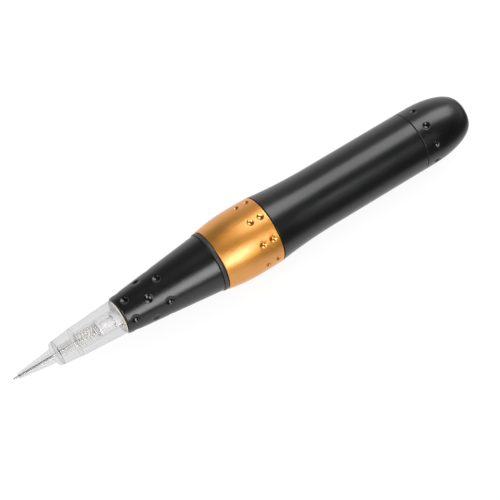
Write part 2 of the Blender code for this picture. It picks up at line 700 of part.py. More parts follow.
cut(grip, dimples("grip_dimples", grip_places, GRIP_DIMPLE_RADIUS, GRIP_DIMPLE_DEPTH, grip_slide))
KEY_SLOT_HALF = KEY_RADIUS + GAP
KEY_TOP = NECK_RADIUS + KEY_PROUD
cut(grip, block(
    "key_slot",
    (KEY_TOP + GAP - NECK_BORE, 2 * KEY_SLOT_HALF, 2 * KEY_SLOT_HALF + GRIP_TRAVEL),
    ((KEY_TOP + GAP + NECK_BORE) / 2, 0, KEY_X + GRIP_TRAVEL / 2),
    grip_slide,
))
turned("grip_insert", sleeve(
    span(INSERT_X, INSERT_X + INSERT_LENGTH, INSERT_RADIUS),
    span(INSERT_X, INSERT_X + INSERT_LENGTH, MOUTH_BORE),
), grip_slide, BRASS)


def seal(name, start, inside, length, height, parent):
    """A rubber ring of oval section, from its front edge and its inside radius."""
    turns = [2 * pi * i / SEAL_FACETS for i in range(SEAL_FACETS)]
    outline = [(start + length / 2 * (1 + cos(turn)), inside + height / 2 * (1 + sin(turn))) for turn in turns]
    return turned(name, outline, parent, BLACK_RUBBER, SIDES)


seal("grip_seal", SKIRT_X + GAP, SKIRT_RADIUS + GAP, GRIP_SEAL_LENGTH, GRIP_SEAL_HEIGHT, grip_slide)

# Depth ring: crowned outside, thread bore in front, journal behind the snap ring
CLIP_X = SPIGOT_X + CLIP_LAND + GAP
CROWN = RING_LENGTH * RING_CROWN_SHARE


def ring_radius(place):
    """Outside radius of the depth ring at a distance from its front edge."""
    if place < CROWN:
        return RING_RADIUS - (RING_RADIUS - RING_FRONT_RADIUS) * (1 - place / CROWN) ** RING_FRONT_POWER
    return RING_RADIUS - (RING_RADIUS - RING_REAR_RADIUS) * ((place - CROWN) / (RING_LENGTH - CROWN)) ** 2


ring_shares = (0, 0.1, 0.22, 0.38, RING_CROWN_SHARE, 0.85, 1)
ring = turned("depth_ring", sleeve(
    [(RING_X + RING_LENGTH * share, ring_radius(RING_LENGTH * share)) for share in ring_shares],
    [
        *span(RING_X, SPIGOT_X - GAP, RING_THREAD),
        *span(SPIGOT_X - GAP, CLIP_X + CLIP_THICKNESS + GAP, CLIP_CHAMBER),
        *span(CLIP_X + CLIP_THICKNESS + GAP, RING_END, RING_JOURNAL),
    ],
), ring_turn, GOLD_ANODISED, SIDES)
ring_places = [
    (FACING + (2 * i + 1) * pi / RING_DIMPLES, ring_radius(RING_LENGTH - inset), RING_END - inset)
    for inset in RING_DIMPLE_INSETS
    for i in range(RING_DIMPLES)
]
cut(ring, dimples("ring_dimples", ring_places, RING_DIMPLE_RADIUS, RING_DIMPLE_DEPTH, ring_turn))

# Barrel, snap ring, neck tube and key pin
flare_shares = (0, 0.12, 0.28, 0.5, 0.75, 1)
turned("barrel", sleeve(
    [
        *span(SPIGOT_X, SPIGOT_X + CLIP_LAND, SPIGOT_RADIUS),
        *span(SPIGOT_X + CLIP_LAND, CLIP_X + CLIP_THICKNESS + GAP, CLIP_FLOOR),
        *span(CLIP_X + CLIP_THICKNESS + GAP, BARREL_X, SPIGOT_RADIUS),
        *[
            (BARREL_X + BARREL_FLARE_LENGTH * share,
             BARREL_RADIUS + (BARREL_FRONT_RADIUS - BARREL_RADIUS) * (1 - share) ** BARREL_FLARE_POWER)
            for share in flare_shares
        ],
        (BARREL_END, BARREL_RADIUS),
    ],
    [
        *span(SPIGOT_X, THROAT_END, NECK_SLIDE),
        *span(THROAT_END, BARREL_END, BARREL_BORE),
    ],
), handpiece, BLACK_ANODISED, SIDES)
clip_start, clip_end = CLIP_OPENING / 2, 2 * pi - CLIP_OPENING / 2
extruded(
    "snap_ring",
    [arc(CLIP_RADIUS, clip_start, clip_end, 20) + arc(CLIP_FLOOR + GAP, clip_end, clip_start, 20)],
    CLIP_X, CLIP_X + CLIP_THICKNESS, handpiece, SPRING_STEEL,
)
neck = turned("neck_tube", sleeve(
    [
        *span(NECK_X, THROAT_END + GAP, NECK_RADIUS),
        *span(THROAT_END + GAP, NECK_END, NECK_FLANGE_RADIUS),
    ],
    [
        *span(NECK_X, GUIDE_END + GAP, NECK_BORE),
        *span(GUIDE_END + GAP, NECK_END, NECK_REAR_BORE),
    ],
), handpiece, ALUMINIUM, SHELL_SIDES)
cut(neck, rod(
    "key_hole", around(0, NECK_BORE - OVERRUN, KEY_X), around(0, NECK_RADIUS + OVERRUN, KEY_X),
    KEY_RADIUS + GAP, handpiece,
))
rod("key_pin", around(0, KEY_TOP - KEY_PROUD - KEY_SINK, KEY_X), around(0, KEY_TOP, KEY_X),
    KEY_RADIUS, handpiece, STEEL)

# Guide bush, drive socket with its screw, push rod and return spring
turned("guide_bush", sleeve(
    span(GUIDE_X, GUIDE_END, NECK_BORE - GAP),
    span(GUIDE_X, GUIDE_END, ROD_RADIUS + GAP),
), handpiece, BRONZE)
socket = turned("drive_socket", [
    (SOCKET_END, ROD_RADIUS + GAP),
    (SOCKET_END, SOCKET_RADIUS),
    (SOCKET_X, SOCKET_RADIUS),
    (SOCKET_X, STEM_BORE),
    (TAIL_END + GAP, STEM_BORE),
    (TAIL_END + GAP, ROD_RADIUS / 2),
    (ROD_X - GAP, ROD_RADIUS / 2),
    (ROD_X - GAP, ROD_RADIUS + GAP),
], needle_slide, STEEL, ROD_SIDES)
SOCKET_SCREW_X = (ROD_X + SOCKET_END) / 2
cut(socket, rod(
    "socket_screw_hole", around(pi, ROD_RADIUS, SOCKET_SCREW_X),
    around(pi, SOCKET_RADIUS + OVERRUN, SOCKET_SCREW_X), SCREW_RADIUS + GAP / 2, needle_slide,
))
rod("socket_screw", around(pi, ROD_RADIUS + GAP, SOCKET_SCREW_X),
    around(pi, SOCKET_RADIUS, SOCKET_SCREW_X), SCREW_RADIUS - GAP / 2, needle_slide, STEEL)
ROD_END = FOLLOWER_END - GAP
turned("push_rod", core([
    (ROD_X, ROD_RADIUS - CHAMFER),
    (ROD_X + CHAMFER, ROD_RADIUS),
    (ROD_END, ROD_RADIUS),
]), needle_slide, STEEL, ROD_SIDES)
wire(
    "return_spring",
    helix(GUIDE_END, FOLLOWER_X, RETURN_RADIUS, RETURN_WIRE, RETURN_TURNS),
    RETURN_WIRE / 2, needle_slide, SPRING_STEEL,
)

# Cam follower with its button and guide pin
follower = turned("cam_follower", [
    (FOLLOWER_END + FOLLOWER_BODY_LENGTH, 0),
    (FOLLOWER_END + FOLLOWER_BODY_LENGTH, FOLLOWER_BODY_RADIUS),
    (FOLLOWER_END, FOLLOWER_BODY_RADIUS),
    (FOLLOWER_END, FOLLOWER_RADIUS),
    (FOLLOWER_X, FOLLOWER_RADIUS),
    (FOLLOWER_X, ROD_RADIUS + GAP),
    (FOLLOWER_END, ROD_RADIUS + GAP),
    (FOLLOWER_END, 0),
], needle_slide, STEEL)
BUTTON_STEM_X = FOLLOWER_X + FOLLOWER_THICKNESS / 2
cut(follower, rod(
    "button_hole", around(pi, BUTTON_OFFSET, FOLLOWER_X - OVERRUN),
    around(pi, BUTTON_OFFSET, FOLLOWER_END + OVERRUN), BUTTON_STEM_RADIUS + GAP, needle_slide,
))
turned("follower_button", core([
    *span(BUTTON_STEM_X, FOLLOWER_END + GAP, BUTTON_STEM_RADIUS),
    (FOLLOWER_END + GAP, BUTTON_RADIUS),
    (BUTTON_END - BUTTON_RADIUS / 2, BUTTON_RADIUS),
    (BUTTON_END, BUTTON_RADIUS / 2),
]), needle_slide, STEEL, SMALL_SIDES, (-BUTTON_OFFSET, 0, 0))
GUIDE_PIN_TOP = FOLLOWER_RADIUS + GUIDE_PIN_PROUD
cut(follower, rod(
    "guide_pin_hole", around(0, FOLLOWER_RADIUS - GUIDE_PIN_SINK - GAP, BUTTON_STEM_X),
    around(0, FOLLOWER_RADIUS + OVERRUN, BUTTON_STEM_X), GUIDE_PIN_RADIUS + GAP / 2, needle_slide,
))
rod("guide_pin", around(0, FOLLOWER_RADIUS - GUIDE_PIN_SINK, BUTTON_STEM_X),
    around(0, GUIDE_PIN_TOP, BUTTON_STEM_X), GUIDE_PIN_RADIUS - GAP / 2, needle_slide, STEEL)
PIN_SLOT_X = BUTTON_STEM_X - GUIDE_PIN_RADIUS - GAP
PIN_SLOT_END = NECK_END + OVERRUN
cut(neck, block(
    "guide_pin_slot",
    (GUIDE_PIN_TOP + GAP, 2 * (GUIDE_PIN_RADIUS + GAP), PIN_SLOT_END - PIN_SLOT_X),
    ((GUIDE_PIN_TOP + GAP) / 2, 0, (PIN_SLOT_END + PIN_SLOT_X) / 2),
    handpiece,
))

# Slanted cam and its set screw
cam = turned("slant_cam", sleeve(
    span(CAM_HIGH_X - OVERRUN, CAM_END, CAM_RADIUS),
    span(CAM_HIGH_X - OVERRUN, CAM_END, SHAFT_BORE),
), rotor_turn, STEEL)
slant = atan(CAM_SLOPE)
wedge_depth = 4 * CAM_RADIUS
wedge_offset = wedge_depth / 2
cut(cam, block(
    "cam_slant", (4 * CAM_RADIUS, 4 * CAM_RADIUS, wedge_depth),
    (-wedge_offset * sin(slant), 0, CAM_X - wedge_offset * cos(slant)),
    rotor_turn, tilt=slant,
))
CAM_SCREW_X = CAM_END - CAM_LENGTH * CAM_SCREW_SHARE
cut(cam, rod(
    "cam_screw_hole", around(pi, SHAFT_RADIUS, CAM_SCREW_X),
    around(pi, CAM_RADIUS + OVERRUN, CAM_SCREW_X), CAM_SCREW_RADIUS + GAP / 2, rotor_turn,
))
rod("cam_screw", around(pi, SHAFT_BORE, CAM_SCREW_X),
    around(pi, SHAFT_BORE + CAM_SCREW_LENGTH, CAM_SCREW_X), CAM_SCREW_RADIUS - GAP / 2, rotor_turn, STEEL)

# Motor plate and the motor's can with its two screws
plate = turned("motor_plate", sleeve(
    span(PLATE_X, PLATE_END, BARREL_BORE - GAP),
    span(PLATE_X, PLATE_END, CAN_BOSS_RADIUS + GAP),
), handpiece, ALUMINIUM, SHELL_SIDES)
can = turned("motor_can", sleeve(
    [
        *span(CAN_X - CAN_BOSS_LENGTH, CAN_X, CAN_BOSS_RADIUS),
        *span(CAN_X, CAN_END, CAN_RADIUS),
    ],
    [
        *span(CAN_X - CAN_BOSS_LENGTH, CAN_X + CAN_WALL, BEARING_SEAT),
        *span(CAN_X + CAN_WALL, CAN_END, CAN_BORE),
    ],
), handpiece, PLATED_CAN, SHELL_SIDES)
for side, word in ((-1, "left"), (1, "right")):
    hole = rod(
        f"plate_hole_{word}", (0, side * PLATE_SCREW_OFFSET, PLATE_X - OVERRUN),
        (0, side * PLATE_SCREW_OFFSET, CAN_X + CAN_WALL + OVERRUN), SCREW_RADIUS + GAP, handpiece,
    )
    cut(plate, hole)
    cut(can, hole)
    screw_item = turned(f"motor_screw_{word}", core([
        *span(SCREW_HEAD_X, SCREW_HEAD_X + SCREW_HEAD_LENGTH, SCREW_HEAD_RADIUS),
        *span(SCREW_HEAD_X + SCREW_HEAD_LENGTH, CAN_X + CAN_WALL, SCREW_RADIUS),
    ]), handpiece, STEEL, SMALL_SIDES, (0, side * PLATE_SCREW_OFFSET, 0))
    cut(screw_item, block(
        f"screw_slot_{word}", (4 * SCREW_HEAD_RADIUS, SCREW_SLOT, SCREW_HEAD_LENGTH),
        (0, side * PLATE_SCREW_OFFSET, SCREW_HEAD_X), handpiece,
    ))

# Motor: magnets, bearings, shaft, core, windings, commutator
MAGNET_X = CAN_X + MAGNET_INSET
for word, middle in (("upper", pi), ("lower", 0)):
    extruded(
        f"magnet_{word}",
        [arc(MAGNET_OUTER, -MAGNET_ARC / 2, MAGNET_ARC / 2, 8)
         + arc(MAGNET_INNER, MAGNET_ARC / 2, -MAGNET_ARC / 2, 8)],
        MAGNET_X, MAGNET_X + MAGNET_LENGTH, handpiece, FERRITE, middle,
    )
turned("front_bearing", sleeve(
    span(CAN_X - CAN_BOSS_LENGTH, CAN_X + CAN_WALL, BEARING_RADIUS),
    span(CAN_X - CAN_BOSS_LENGTH, CAN_X + CAN_WALL, SHAFT_BORE),
), handpiece, BRONZE, ROD_SIDES)
turned("rear_bearing", sleeve(
    span(END_CAP_X - END_SPIGOT_LENGTH, END_CAP_X, BEARING_RADIUS),
    span(END_CAP_X - END_SPIGOT_LENGTH, END_CAP_X, SHAFT_BORE),
), handpiece, BRONZE, ROD_SIDES)
SHAFT_X = CAM_X - CAM_RADIUS * CAM_SLOPE / 2
turned("motor_shaft", core([
    (SHAFT_X, SHAFT_RADIUS - CHAMFER),
    (SHAFT_X + CHAMFER, SHAFT_RADIUS),
    (END_CAP_X - GAP, SHAFT_RADIUS),
]), rotor_turn, STEEL, ROD_SIDES)


def pole_outline():
    """Outline across a core with one arm and shoe for each pole."""
    points = []
    arm_angle = asin(CORE_ARM / 2 / CORE_HUB_RADIUS)
    shoe_inner = CORE_RADIUS - CORE_SHOE
    shoe_angle = asin(CORE_ARM / 2 / shoe_inner)
    for pole in range(CORE_POLES):
        middle = 2 * pi * pole / CORE_POLES
        points.append(across(CORE_HUB_RADIUS, middle - arm_angle))
        points += arc(shoe_inner, middle - shoe_angle, middle - CORE_SHOE_ARC / 2, 2)
        points += arc(CORE_RADIUS, middle - CORE_SHOE_ARC / 2, middle + CORE_SHOE_ARC / 2, 6)
        points += arc(shoe_inner, middle + CORE_SHOE_ARC / 2, middle + shoe_angle, 2)
        points.append(across(CORE_HUB_RADIUS, middle + arm_angle))
    return points


extruded(
    "armature_core", [pole_outline(), arc(SHAFT_BORE, 0, 2 * pi * 11 / 12, 11)],
    CORE_X, CORE_X + CORE_LENGTH, rotor_turn, IRON,
)
winding_side = CORE_ARM / 2 + GAP + WINDING_RADIUS
winding_out = CORE_LENGTH / 2 + GAP + WINDING_RADIUS
winding_depth = (CORE_HUB_RADIUS + CORE_RADIUS - CORE_SHOE) / 2
for pole in range(CORE_POLES):
    loop = []
    for side, end in ((1, -1), (1, 1), (-1, 1), (-1, -1)):
        first = (side * winding_side, end * (winding_out - WINDING_RADIUS))
        second = (side * (winding_side - WINDING_RADIUS), end * winding_out)
        loop += [first, second] if side * end > 0 else [second, first]
    points = [(winding_depth, across, along) for across, along in loop]
    winding = wire(f"winding_{pole + 1}", points, WINDING_RADIUS, rotor_turn, COPPER, closed=True)
    winding.location = (0, 0, CORE_X + CORE_LENGTH / 2)
    winding.rotation_euler = (0, 0, 2 * pi * pole / CORE_POLES)
turned("commutator", sleeve(
    span(COMMUTATOR_X, COMMUTATOR_X + COMMUTATOR_LENGTH, COMMUTATOR_RADIUS),
    span(COMMUTATOR_X, COMMUTATOR_X + COMMUTATOR_LENGTH, SHAFT_BORE),
), rotor_turn, COPPER, ROD_SIDES)

# Motor end cap with terminals and brush leaves
end_cap = turned("motor_end_cap", sleeve(
    [
        *span(END_CAP_X - END_SPIGOT_LENGTH, END_CAP_X, CAN_BORE - GAP),
        *span(END_CAP_X, MOTOR_END, CAN_RADIUS),
    ],
    [
        *span(END_CAP_X - END_SPIGOT_LENGTH, END_CAP_X + GAP, BEARING_SEAT),
        *span(END_CAP_X + GAP, MOTOR_END, SHAFT_RADIUS),
    ],
), handpiece, BLACK_PLASTIC)
end_face = END_CAP_X - END_SPIGOT_LENGTH
brush_y = COMMUTATOR_RADIUS + GAP + BRUSH_THICKNESS / 2
for side, word in ((-1, "left"), (1, "right")):
    middle = side * TERMINAL_OFFSET
    terminal_start = end_face - TERMINAL_INNER
    terminal_end = MOTOR_END + TERMINAL_SHOW
    terminal_slot = block(
        f"terminal_slot_{word}",
        (TERMINAL_WIDTH + 2 * GAP, TERMINAL_THICKNESS + 2 * GAP, terminal_end - terminal_start),
        (0, middle, (terminal_start + terminal_end) / 2), handpiece,
    )
    cut(end_cap, terminal_slot)
    block(
        f"terminal_{word}", (TERMINAL_WIDTH, TERMINAL_THICKNESS, terminal_end - terminal_start),
        (0, middle, (terminal_start + terminal_end) / 2), handpiece, BRASS,
    )
    brush_start = COMMUTATOR_X + GAP
    leaf = [
        (side * (brush_y - BRUSH_THICKNESS / 2), brush_start),
        (side * (brush_y + BRUSH_THICKNESS / 2), brush_start),
        (side * (brush_y + BRUSH_THICKNESS / 2), end_face - GAP - BRUSH_THICKNESS),
        (middle - side * (TERMINAL_THICKNESS / 2 + GAP), end_face - GAP - BRUSH_THICKNESS),
        (middle - side * (TERMINAL_THICKNESS / 2 + GAP), end_face - GAP),
        (side * (brush_y - BRUSH_THICKNESS / 2), end_face - GAP),
    ]
    brush = extruded(f"brush_{word}", [leaf], -BRUSH_WIDTH / 2, BRUSH_WIDTH / 2, handpiece, COPPER)
    brush.rotation_euler = (pi / 2, 0, pi / 2)

# Rear cap: threaded spigot, dimples and dome, with its O-ring
dome_shares = (0.2, 0.4, 0.57, 0.72, 0.86, 1)
SEAL_X = CAP_SPIGOT_X + CAP_SEAL_PLACE
SEAL_FLOOR = CAP_SPIGOT_RADIUS - CAP_SEAL_WIRE
cap = turned("rear_cap", sleeve(
    [
        *span(CAP_SPIGOT_X, SEAL_X - GAP, CAP_SPIGOT_RADIUS),
        *span(SEAL_X - GAP, SEAL_X + CAP_SEAL_WIRE + GAP, SEAL_FLOOR - GAP),
        *span(SEAL_X + CAP_SEAL_WIRE + GAP, CAP_X, CAP_SPIGOT_RADIUS),
        *span(CAP_X, DOME_X, BARREL_RADIUS),
        *[
            (DOME_X + CAP_DOME * sin(pi / 2 * share),
             CAP_FLAT_RADIUS + (BARREL_RADIUS - CAP_FLAT_RADIUS) * cos(pi / 2 * share))
            for share in dome_shares
        ],
    ],
    [
        *span(CAP_SPIGOT_X, JACK_X + GAP, CAP_SPIGOT_BORE),
        *span(JACK_X + GAP, JACK_END + GAP, JACK_SEAT),
        *span(JACK_END + GAP, PEN_LENGTH, CAP_HOLE_RADIUS),
    ],
), handpiece, BLACK_ANODISED, SIDES)
cap_places = [
    (FACING + CAP_FIRST_DIMPLE + 2 * pi * i / CAP_DIMPLES, BARREL_RADIUS, CAP_X + CAP_DIMPLE_PLACE)
    for i in range(CAP_DIMPLES)
]
cut(cap, dimples("cap_dimples", cap_places, CAP_DIMPLE_RADIUS, CAP_DIMPLE_DEPTH, handpiece))
seal("cap_seal", SEAL_X, SEAL_FLOOR, CAP_SEAL_WIRE, CAP_SEAL_WIRE, handpiece)

# Jack: plastic body, sleeve contact at the mouth, two solder tags
jack = turned("jack_body", [
    (JACK_END, JACK_BORE + JACK_SLEEVE_WALL + GAP),
    (JACK_END, JACK_RADIUS),
    (JACK_X, JACK_RADIUS),
    (JACK_X, 0),
    (JACK_X + JACK_FLOOR, 0),
    (JACK_X + JACK_FLOOR, JACK_BORE),
    (JACK_END - JACK_SLEEVE_LENGTH - GAP, JACK_BORE),
    (JACK_END - JACK_SLEEVE_LENGTH - GAP, JACK_BORE + JACK_SLEEVE_WALL + GAP),
], handpiece, BLACK_PLASTIC)
turned("jack_sleeve", sleeve(
    span(JACK_END - JACK_SLEEVE_LENGTH, JACK_END, JACK_BORE + JACK_SLEEVE_WALL),
    span(JACK_END - JACK_SLEEVE_LENGTH, JACK_END, JACK_BORE),
), handpiece, STEEL)
for side, word in ((-1, "left"), (1, "right")):
    tag_start, tag_end = JACK_X - TAG_SHOW, JACK_X + TAG_REACH
    middle = side * TAG_OFFSET
    tag_slot = block(
        f"tag_slot_{word}",
        (TAG_WIDTH + 2 * GAP, TAG_THICKNESS + 2 * GAP, tag_end + GAP - tag_start),
        (0, middle, (tag_start + tag_end + GAP) / 2), handpiece,
    )
    cut(jack, tag_slot)
    block(
        f"jack_contact_{word}", (TAG_WIDTH, TAG_THICKNESS, tag_end - tag_start),
        (0, middle, (tag_start + tag_end) / 2), handpiece, BRASS,
    )
    color = RED_WIRE if side > 0 else BLACK_WIRE
    wire_start = MOTOR_END + TERMINAL_SHOW + GAP
    wire_end = tag_start - GAP
    wire_points = []
    for i in range(WIRE_POINTS + 1):
        share = i / WIRE_POINTS
        ease = share * share * (3 - 2 * share)
        bow = WIRE_SAG * sin(pi * ease) ** 2
        wire_points.append((
            bow,
            side * (TERMINAL_OFFSET + (TAG_OFFSET - TERMINAL_OFFSET) * ease),
            wire_start + (wire_end - wire_start) * share,
        ))
    wire(f"wire_{word}", wire_points, WIRE_RADIUS, handpiece, color)

# Shade the round pieces smooth between their sharp edges
for item in PEN.objects:
    if item.type == "MESH" and len(item.data.polygons) > 6:
        item.data.shade_smooth()
        item.data.set_sharp_from_angle(angle=radians(35))
print("pen length, mm", round(PEN_LENGTH * 1000, 2), "axis height, mm", round(AXIS_HEIGHT * 1000, 3))
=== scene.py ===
import bmesh
import bpy
from math import cos, pi, radians, sin, sqrt
from mathutils import Matrix, Vector
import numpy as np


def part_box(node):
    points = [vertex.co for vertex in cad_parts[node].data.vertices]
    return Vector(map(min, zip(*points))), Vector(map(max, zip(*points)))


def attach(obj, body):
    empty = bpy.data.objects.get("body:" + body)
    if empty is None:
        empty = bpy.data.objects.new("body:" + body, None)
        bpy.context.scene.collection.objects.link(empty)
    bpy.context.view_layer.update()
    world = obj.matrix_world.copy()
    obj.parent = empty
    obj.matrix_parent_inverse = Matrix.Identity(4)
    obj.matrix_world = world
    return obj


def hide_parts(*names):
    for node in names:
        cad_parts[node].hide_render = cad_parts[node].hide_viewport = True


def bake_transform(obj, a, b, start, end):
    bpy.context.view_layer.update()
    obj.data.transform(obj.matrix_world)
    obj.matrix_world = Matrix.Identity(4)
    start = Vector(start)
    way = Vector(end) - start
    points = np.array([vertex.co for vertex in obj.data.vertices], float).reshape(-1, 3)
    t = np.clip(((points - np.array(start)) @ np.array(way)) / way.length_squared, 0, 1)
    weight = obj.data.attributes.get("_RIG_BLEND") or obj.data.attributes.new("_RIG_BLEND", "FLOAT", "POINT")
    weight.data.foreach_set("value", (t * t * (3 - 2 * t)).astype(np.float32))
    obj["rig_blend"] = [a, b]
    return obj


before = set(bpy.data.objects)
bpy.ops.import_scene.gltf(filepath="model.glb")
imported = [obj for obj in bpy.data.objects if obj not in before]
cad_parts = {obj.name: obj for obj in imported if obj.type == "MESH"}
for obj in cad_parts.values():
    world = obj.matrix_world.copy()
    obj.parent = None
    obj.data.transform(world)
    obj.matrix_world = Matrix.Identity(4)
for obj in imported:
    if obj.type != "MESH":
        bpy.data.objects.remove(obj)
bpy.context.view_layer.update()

# Needle: one hard steel wire, ground to a long point and glued in the plunger. Every place in this
# file is counted from its tip along the pen, and turned about the pen's own axis.
NEEDLE_RADIUS = 0.00027
NEEDLE_TAPER = 0.0007
TIP_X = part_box("needle")[0].x
AXIS_Z = (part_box("push_rod")[0].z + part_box("push_rod")[1].z) / 2
needle_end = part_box("needle")[1].x - TIP_X


class Socket:
    """A socket of a node tree. Sums on it are written as plain Python and add Math nodes."""

    def __init__(self, tree, socket):
        self.tree = tree
        self.socket = socket

    def node(self, kind, settings=(), values=(), out=0):
        """Any other node: its settings first, then the values or links of its sockets."""
        made = self.tree.nodes.new(kind)
        for name, value in dict(settings).items():
            if name == "stops":
                ramp = made.color_ramp
                while len(ramp.elements) < len(value):
                    ramp.elements.new(1.0)
                for element, (position, color) in zip(ramp.elements, value):
                    element.position = position
                    element.color = (*color, 1)
            else:
                setattr(made, name, value)
        for name, value in dict(values).items():
            if isinstance(value, Socket):
                self.tree.links.new(value.socket, made.inputs[name])
            else:
                made.inputs[name].default_value = value
        return Socket(self.tree, made.outputs[out])

    def math(self, operation, *values):
        return self.node("ShaderNodeMath", {"operation": operation}, dict(enumerate(values)))

    def mix(self, low, high):
        """A colour that goes from low to high as this value goes from 0 to 1."""
        return self.node("ShaderNodeMix", {"data_type": "RGBA"}, {0: self, 6: low, 7: high}, 2)

    def other(self, output):
        """Another output of the node that this socket is on."""
        return Socket(self.tree, self.socket.node.outputs[output])

    def clamp(self):
        """This value, kept from 0 to 1."""
        return self.math("MINIMUM", self.math("MAXIMUM", self, 0.0), 1.0)

    def __add__(self, other):
        return self.math("ADD", self, other)

    def __radd__(self, other):
        return self.math("ADD", other, self)

    def __sub__(self, other):
        return self.math("SUBTRACT", self, other)

    def __rsub__(self, other):
        return self.math("SUBTRACT", other, self)

    def __mul__(self, other):
        return self.math("MULTIPLY", self, other)

    def __rmul__(self, other):
        return self.math("MULTIPLY", other, self)

    def __truediv__(self, other):
        return self.math("DIVIDE", self, other)

    def __rtruediv__(self, other):
        return self.math("DIVIDE", other, self)


class Finish:
    """A material in the making: a shader with its fixed values, and the patterns that drive it."""

    def __init__(self, name, values):
        self.material = bpy.data.materials.new(name)
        self.material.use_nodes = True
        self.tree = self.material.node_tree
        self.shader = self.tree.nodes["Principled BSDF"]
        for socket, value in values.items():
            self.shader.inputs[socket].default_value = value
        self.place = Socket(self.tree, self.tree.nodes.new("ShaderNodeTexCoord").outputs["Object"])
        self.along = self.place.node("ShaderNodeSeparateXYZ", values={0: self.place})

    def from_axis(self):
        """The distance from the pen's axis, in metres."""
        down, sideways = self.along.other("Z") - AXIS_Z, self.along.other("Y")
        return down.math("SQRT", down * down + sideways * sideways)

    def noise(self, per_metre, detail=2.0, stretch=(1, 1, 1), rough=0.5):
        """Noise with so many grains to a metre, from 0 to 1, and fewer along an axis with less stretch."""
        scaled = self.place.node("ShaderNodeMapping", values={"Vector": self.place, "Scale": stretch})
        return self.place.node("ShaderNodeTexNoise", values={
            "Vector": scaled, "Scale": per_metre, "Detail": detail, "Roughness": rough,
        })

    def drive(self, socket, value):
        self.tree.links.new(value.socket, self.shader.inputs[socket])

    def bump(self, height, depth, strength=1.0):
        """Relief of a height from 0 to 1, so many metres deep."""
        self.drive("Normal", height.node("ShaderNodeBump", values={
            "Height": height, "Distance": depth, "Strength": strength,
        }))


def metal(name, dark, light, roughness, line_depth, lines=9000):
    """Bare turned metal: fine lines round the pen's axis, and a slow change of colour and gloss."""
    made = Finish(name, {"Metallic": 1.0})
    cloud = made.noise(420, 3)
    line = made.noise(lines, 2, (1, 0.04, 0.04))
    made.drive("Base Color", (0.6 * cloud + 0.4 * line).mix((*dark, 1), (*light, 1)))
    made.drive("Roughness", roughness + 0.16 * (cloud - 0.5) + 0.10 * (line - 0.5))
    made.bump(line, line_depth)
    return made.material


def eased(points, size, closed):
    """The outline with its corners rounded, and a point beside each round so that long faces stay flat."""
    result = []
    for i, here in enumerate(points):
        if not closed and i in (0, len(points) - 1):
            result.append(here)
            continue
        corner = Vector(here)
        back = Vector(points[i - 1]) - corner
        ahead = Vector(points[(i + 1) % len(points)]) - corner
        if back.angle(ahead) > radians(168):
            result.append(here)
            continue
        ease = min(size, 0.3 * back.length, 0.3 * ahead.length)
        start, end = corner + back.normalized() * ease, corner + ahead.normalized() * ease
        result.append(tuple(start + back.normalized() * ease * 0.4))
        for share in (0, 0.25, 0.5, 0.75, 1):
            bend = start * (1 - share) ** 2 + corner * 2 * share * (1 - share) + end * share ** 2
            result.append(tuple(bend))
        result.append(tuple(end + ahead.normalized() * ease * 0.4))
    return result


def turned(name, outside, bore=(), sides=96, ease=0.00008, trim=None):
    """A piece turned on the pen's axis from (distance from the tip, radius) points, all front to rear.

    Without a bore it is solid. trim may change the radius of an outside point at an angle.
    """
    if bore:
        outline = eased(list(outside) + list(reversed(bore)), ease, True)
    else:
        outline = eased([(outside[0][0], 0), *outside, (outside[-1][0], 0)], ease, False)
    points, rows = [], []
    for along, radius in outline:
        row = []
        for i in range(sides if radius > 0 else 1):
            angle = 2 * pi * i / sides
            reach = trim(along, radius, angle) if trim else radius
            row.append(len(points))
            points.append((TIP_X + along, reach * sin(angle), AXIS_Z - reach * cos(angle)))
        rows.append(row)
    faces = []
    pairs = list(zip(rows, rows[1:])) + ([(rows[-1], rows[0])] if bore else [])
    for row, following in pairs:
        for i in range(sides):
            j = (i + 1) % sides
            if len(row) == 1:
                faces.append((row[0], following[i], following[j]))
            elif len(following) == 1:
                faces.append((row[i], following[0], row[j]))
            else:
                faces.append((row[i], following[i], following[j], row[j]))
    mesh = bpy.data.meshes.new(name)
    mesh.from_pydata(points, [], [face[::-1] for face in faces])
    mesh.shade_smooth()
    mesh.set_sharp_from_angle(angle=radians(50))
    piece = bpy.data.objects.new(name, mesh)
    bpy.context.scene.collection.objects.link(piece)
    return piece


def span(start, end, radius):
    """Two outline points at one radius."""
    return [(start, radius), (end, radius)]


def fit(piece, material, slot, body, *nodes):
    """Give a piece its finish, and put it on its body in place of the nodes that it stands for."""
    piece.data.materials.clear()
    piece.data.materials.append(material)
    if nodes:
        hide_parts(*nodes)
    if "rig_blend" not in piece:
        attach(piece, body)


polished_steel = metal("polished_steel", (0.50, 0.50, 0.52), (0.72, 0.72, 0.74), 0.24, 0.000002)
# The needle's colour changes along its front: painted shade on the stretch that runs in the nozzle's bore, and
# painted light on the stretch behind it.
POINT_STEEL, SHADED_STEEL, LIT_STEEL = (0.50, 0.49, 0.48), (0.34, 0.32, 0.30), (0.85, 0.80, 0.74)
LIT_AND_SHADED_LENGTH = 0.020
needle_steel = Finish("needle_steel", {"Metallic": 1.0})
scratch = needle_steel.noise(9000, 2, (0.05, 1, 1))
share = (needle_steel.along - TIP_X) * (1 / LIT_AND_SHADED_LENGTH) + 0.02 * scratch
needle_steel.drive("Base Color", share.node("ShaderNodeValToRGB", {"stops": (
    (0.06, POINT_STEEL), (0.10, SHADED_STEEL), (0.60, SHADED_STEEL), (0.65, LIT_STEEL),
)}, {0: share}))
needle_steel.drive("Roughness", 0.30 + 0.1 * scratch)
needle_steel.bump(scratch, 0.000001)
fit(turned("needle_wire", [
    (0, NEEDLE_RADIUS / 3), (NEEDLE_TAPER * 0.4, NEEDLE_RADIUS * 0.85),
    (NEEDLE_TAPER, NEEDLE_RADIUS), (needle_end, NEEDLE_RADIUS),
], sides=32, ease=0.00002), needle_steel.material, "steel", "needle_drive", "needle")

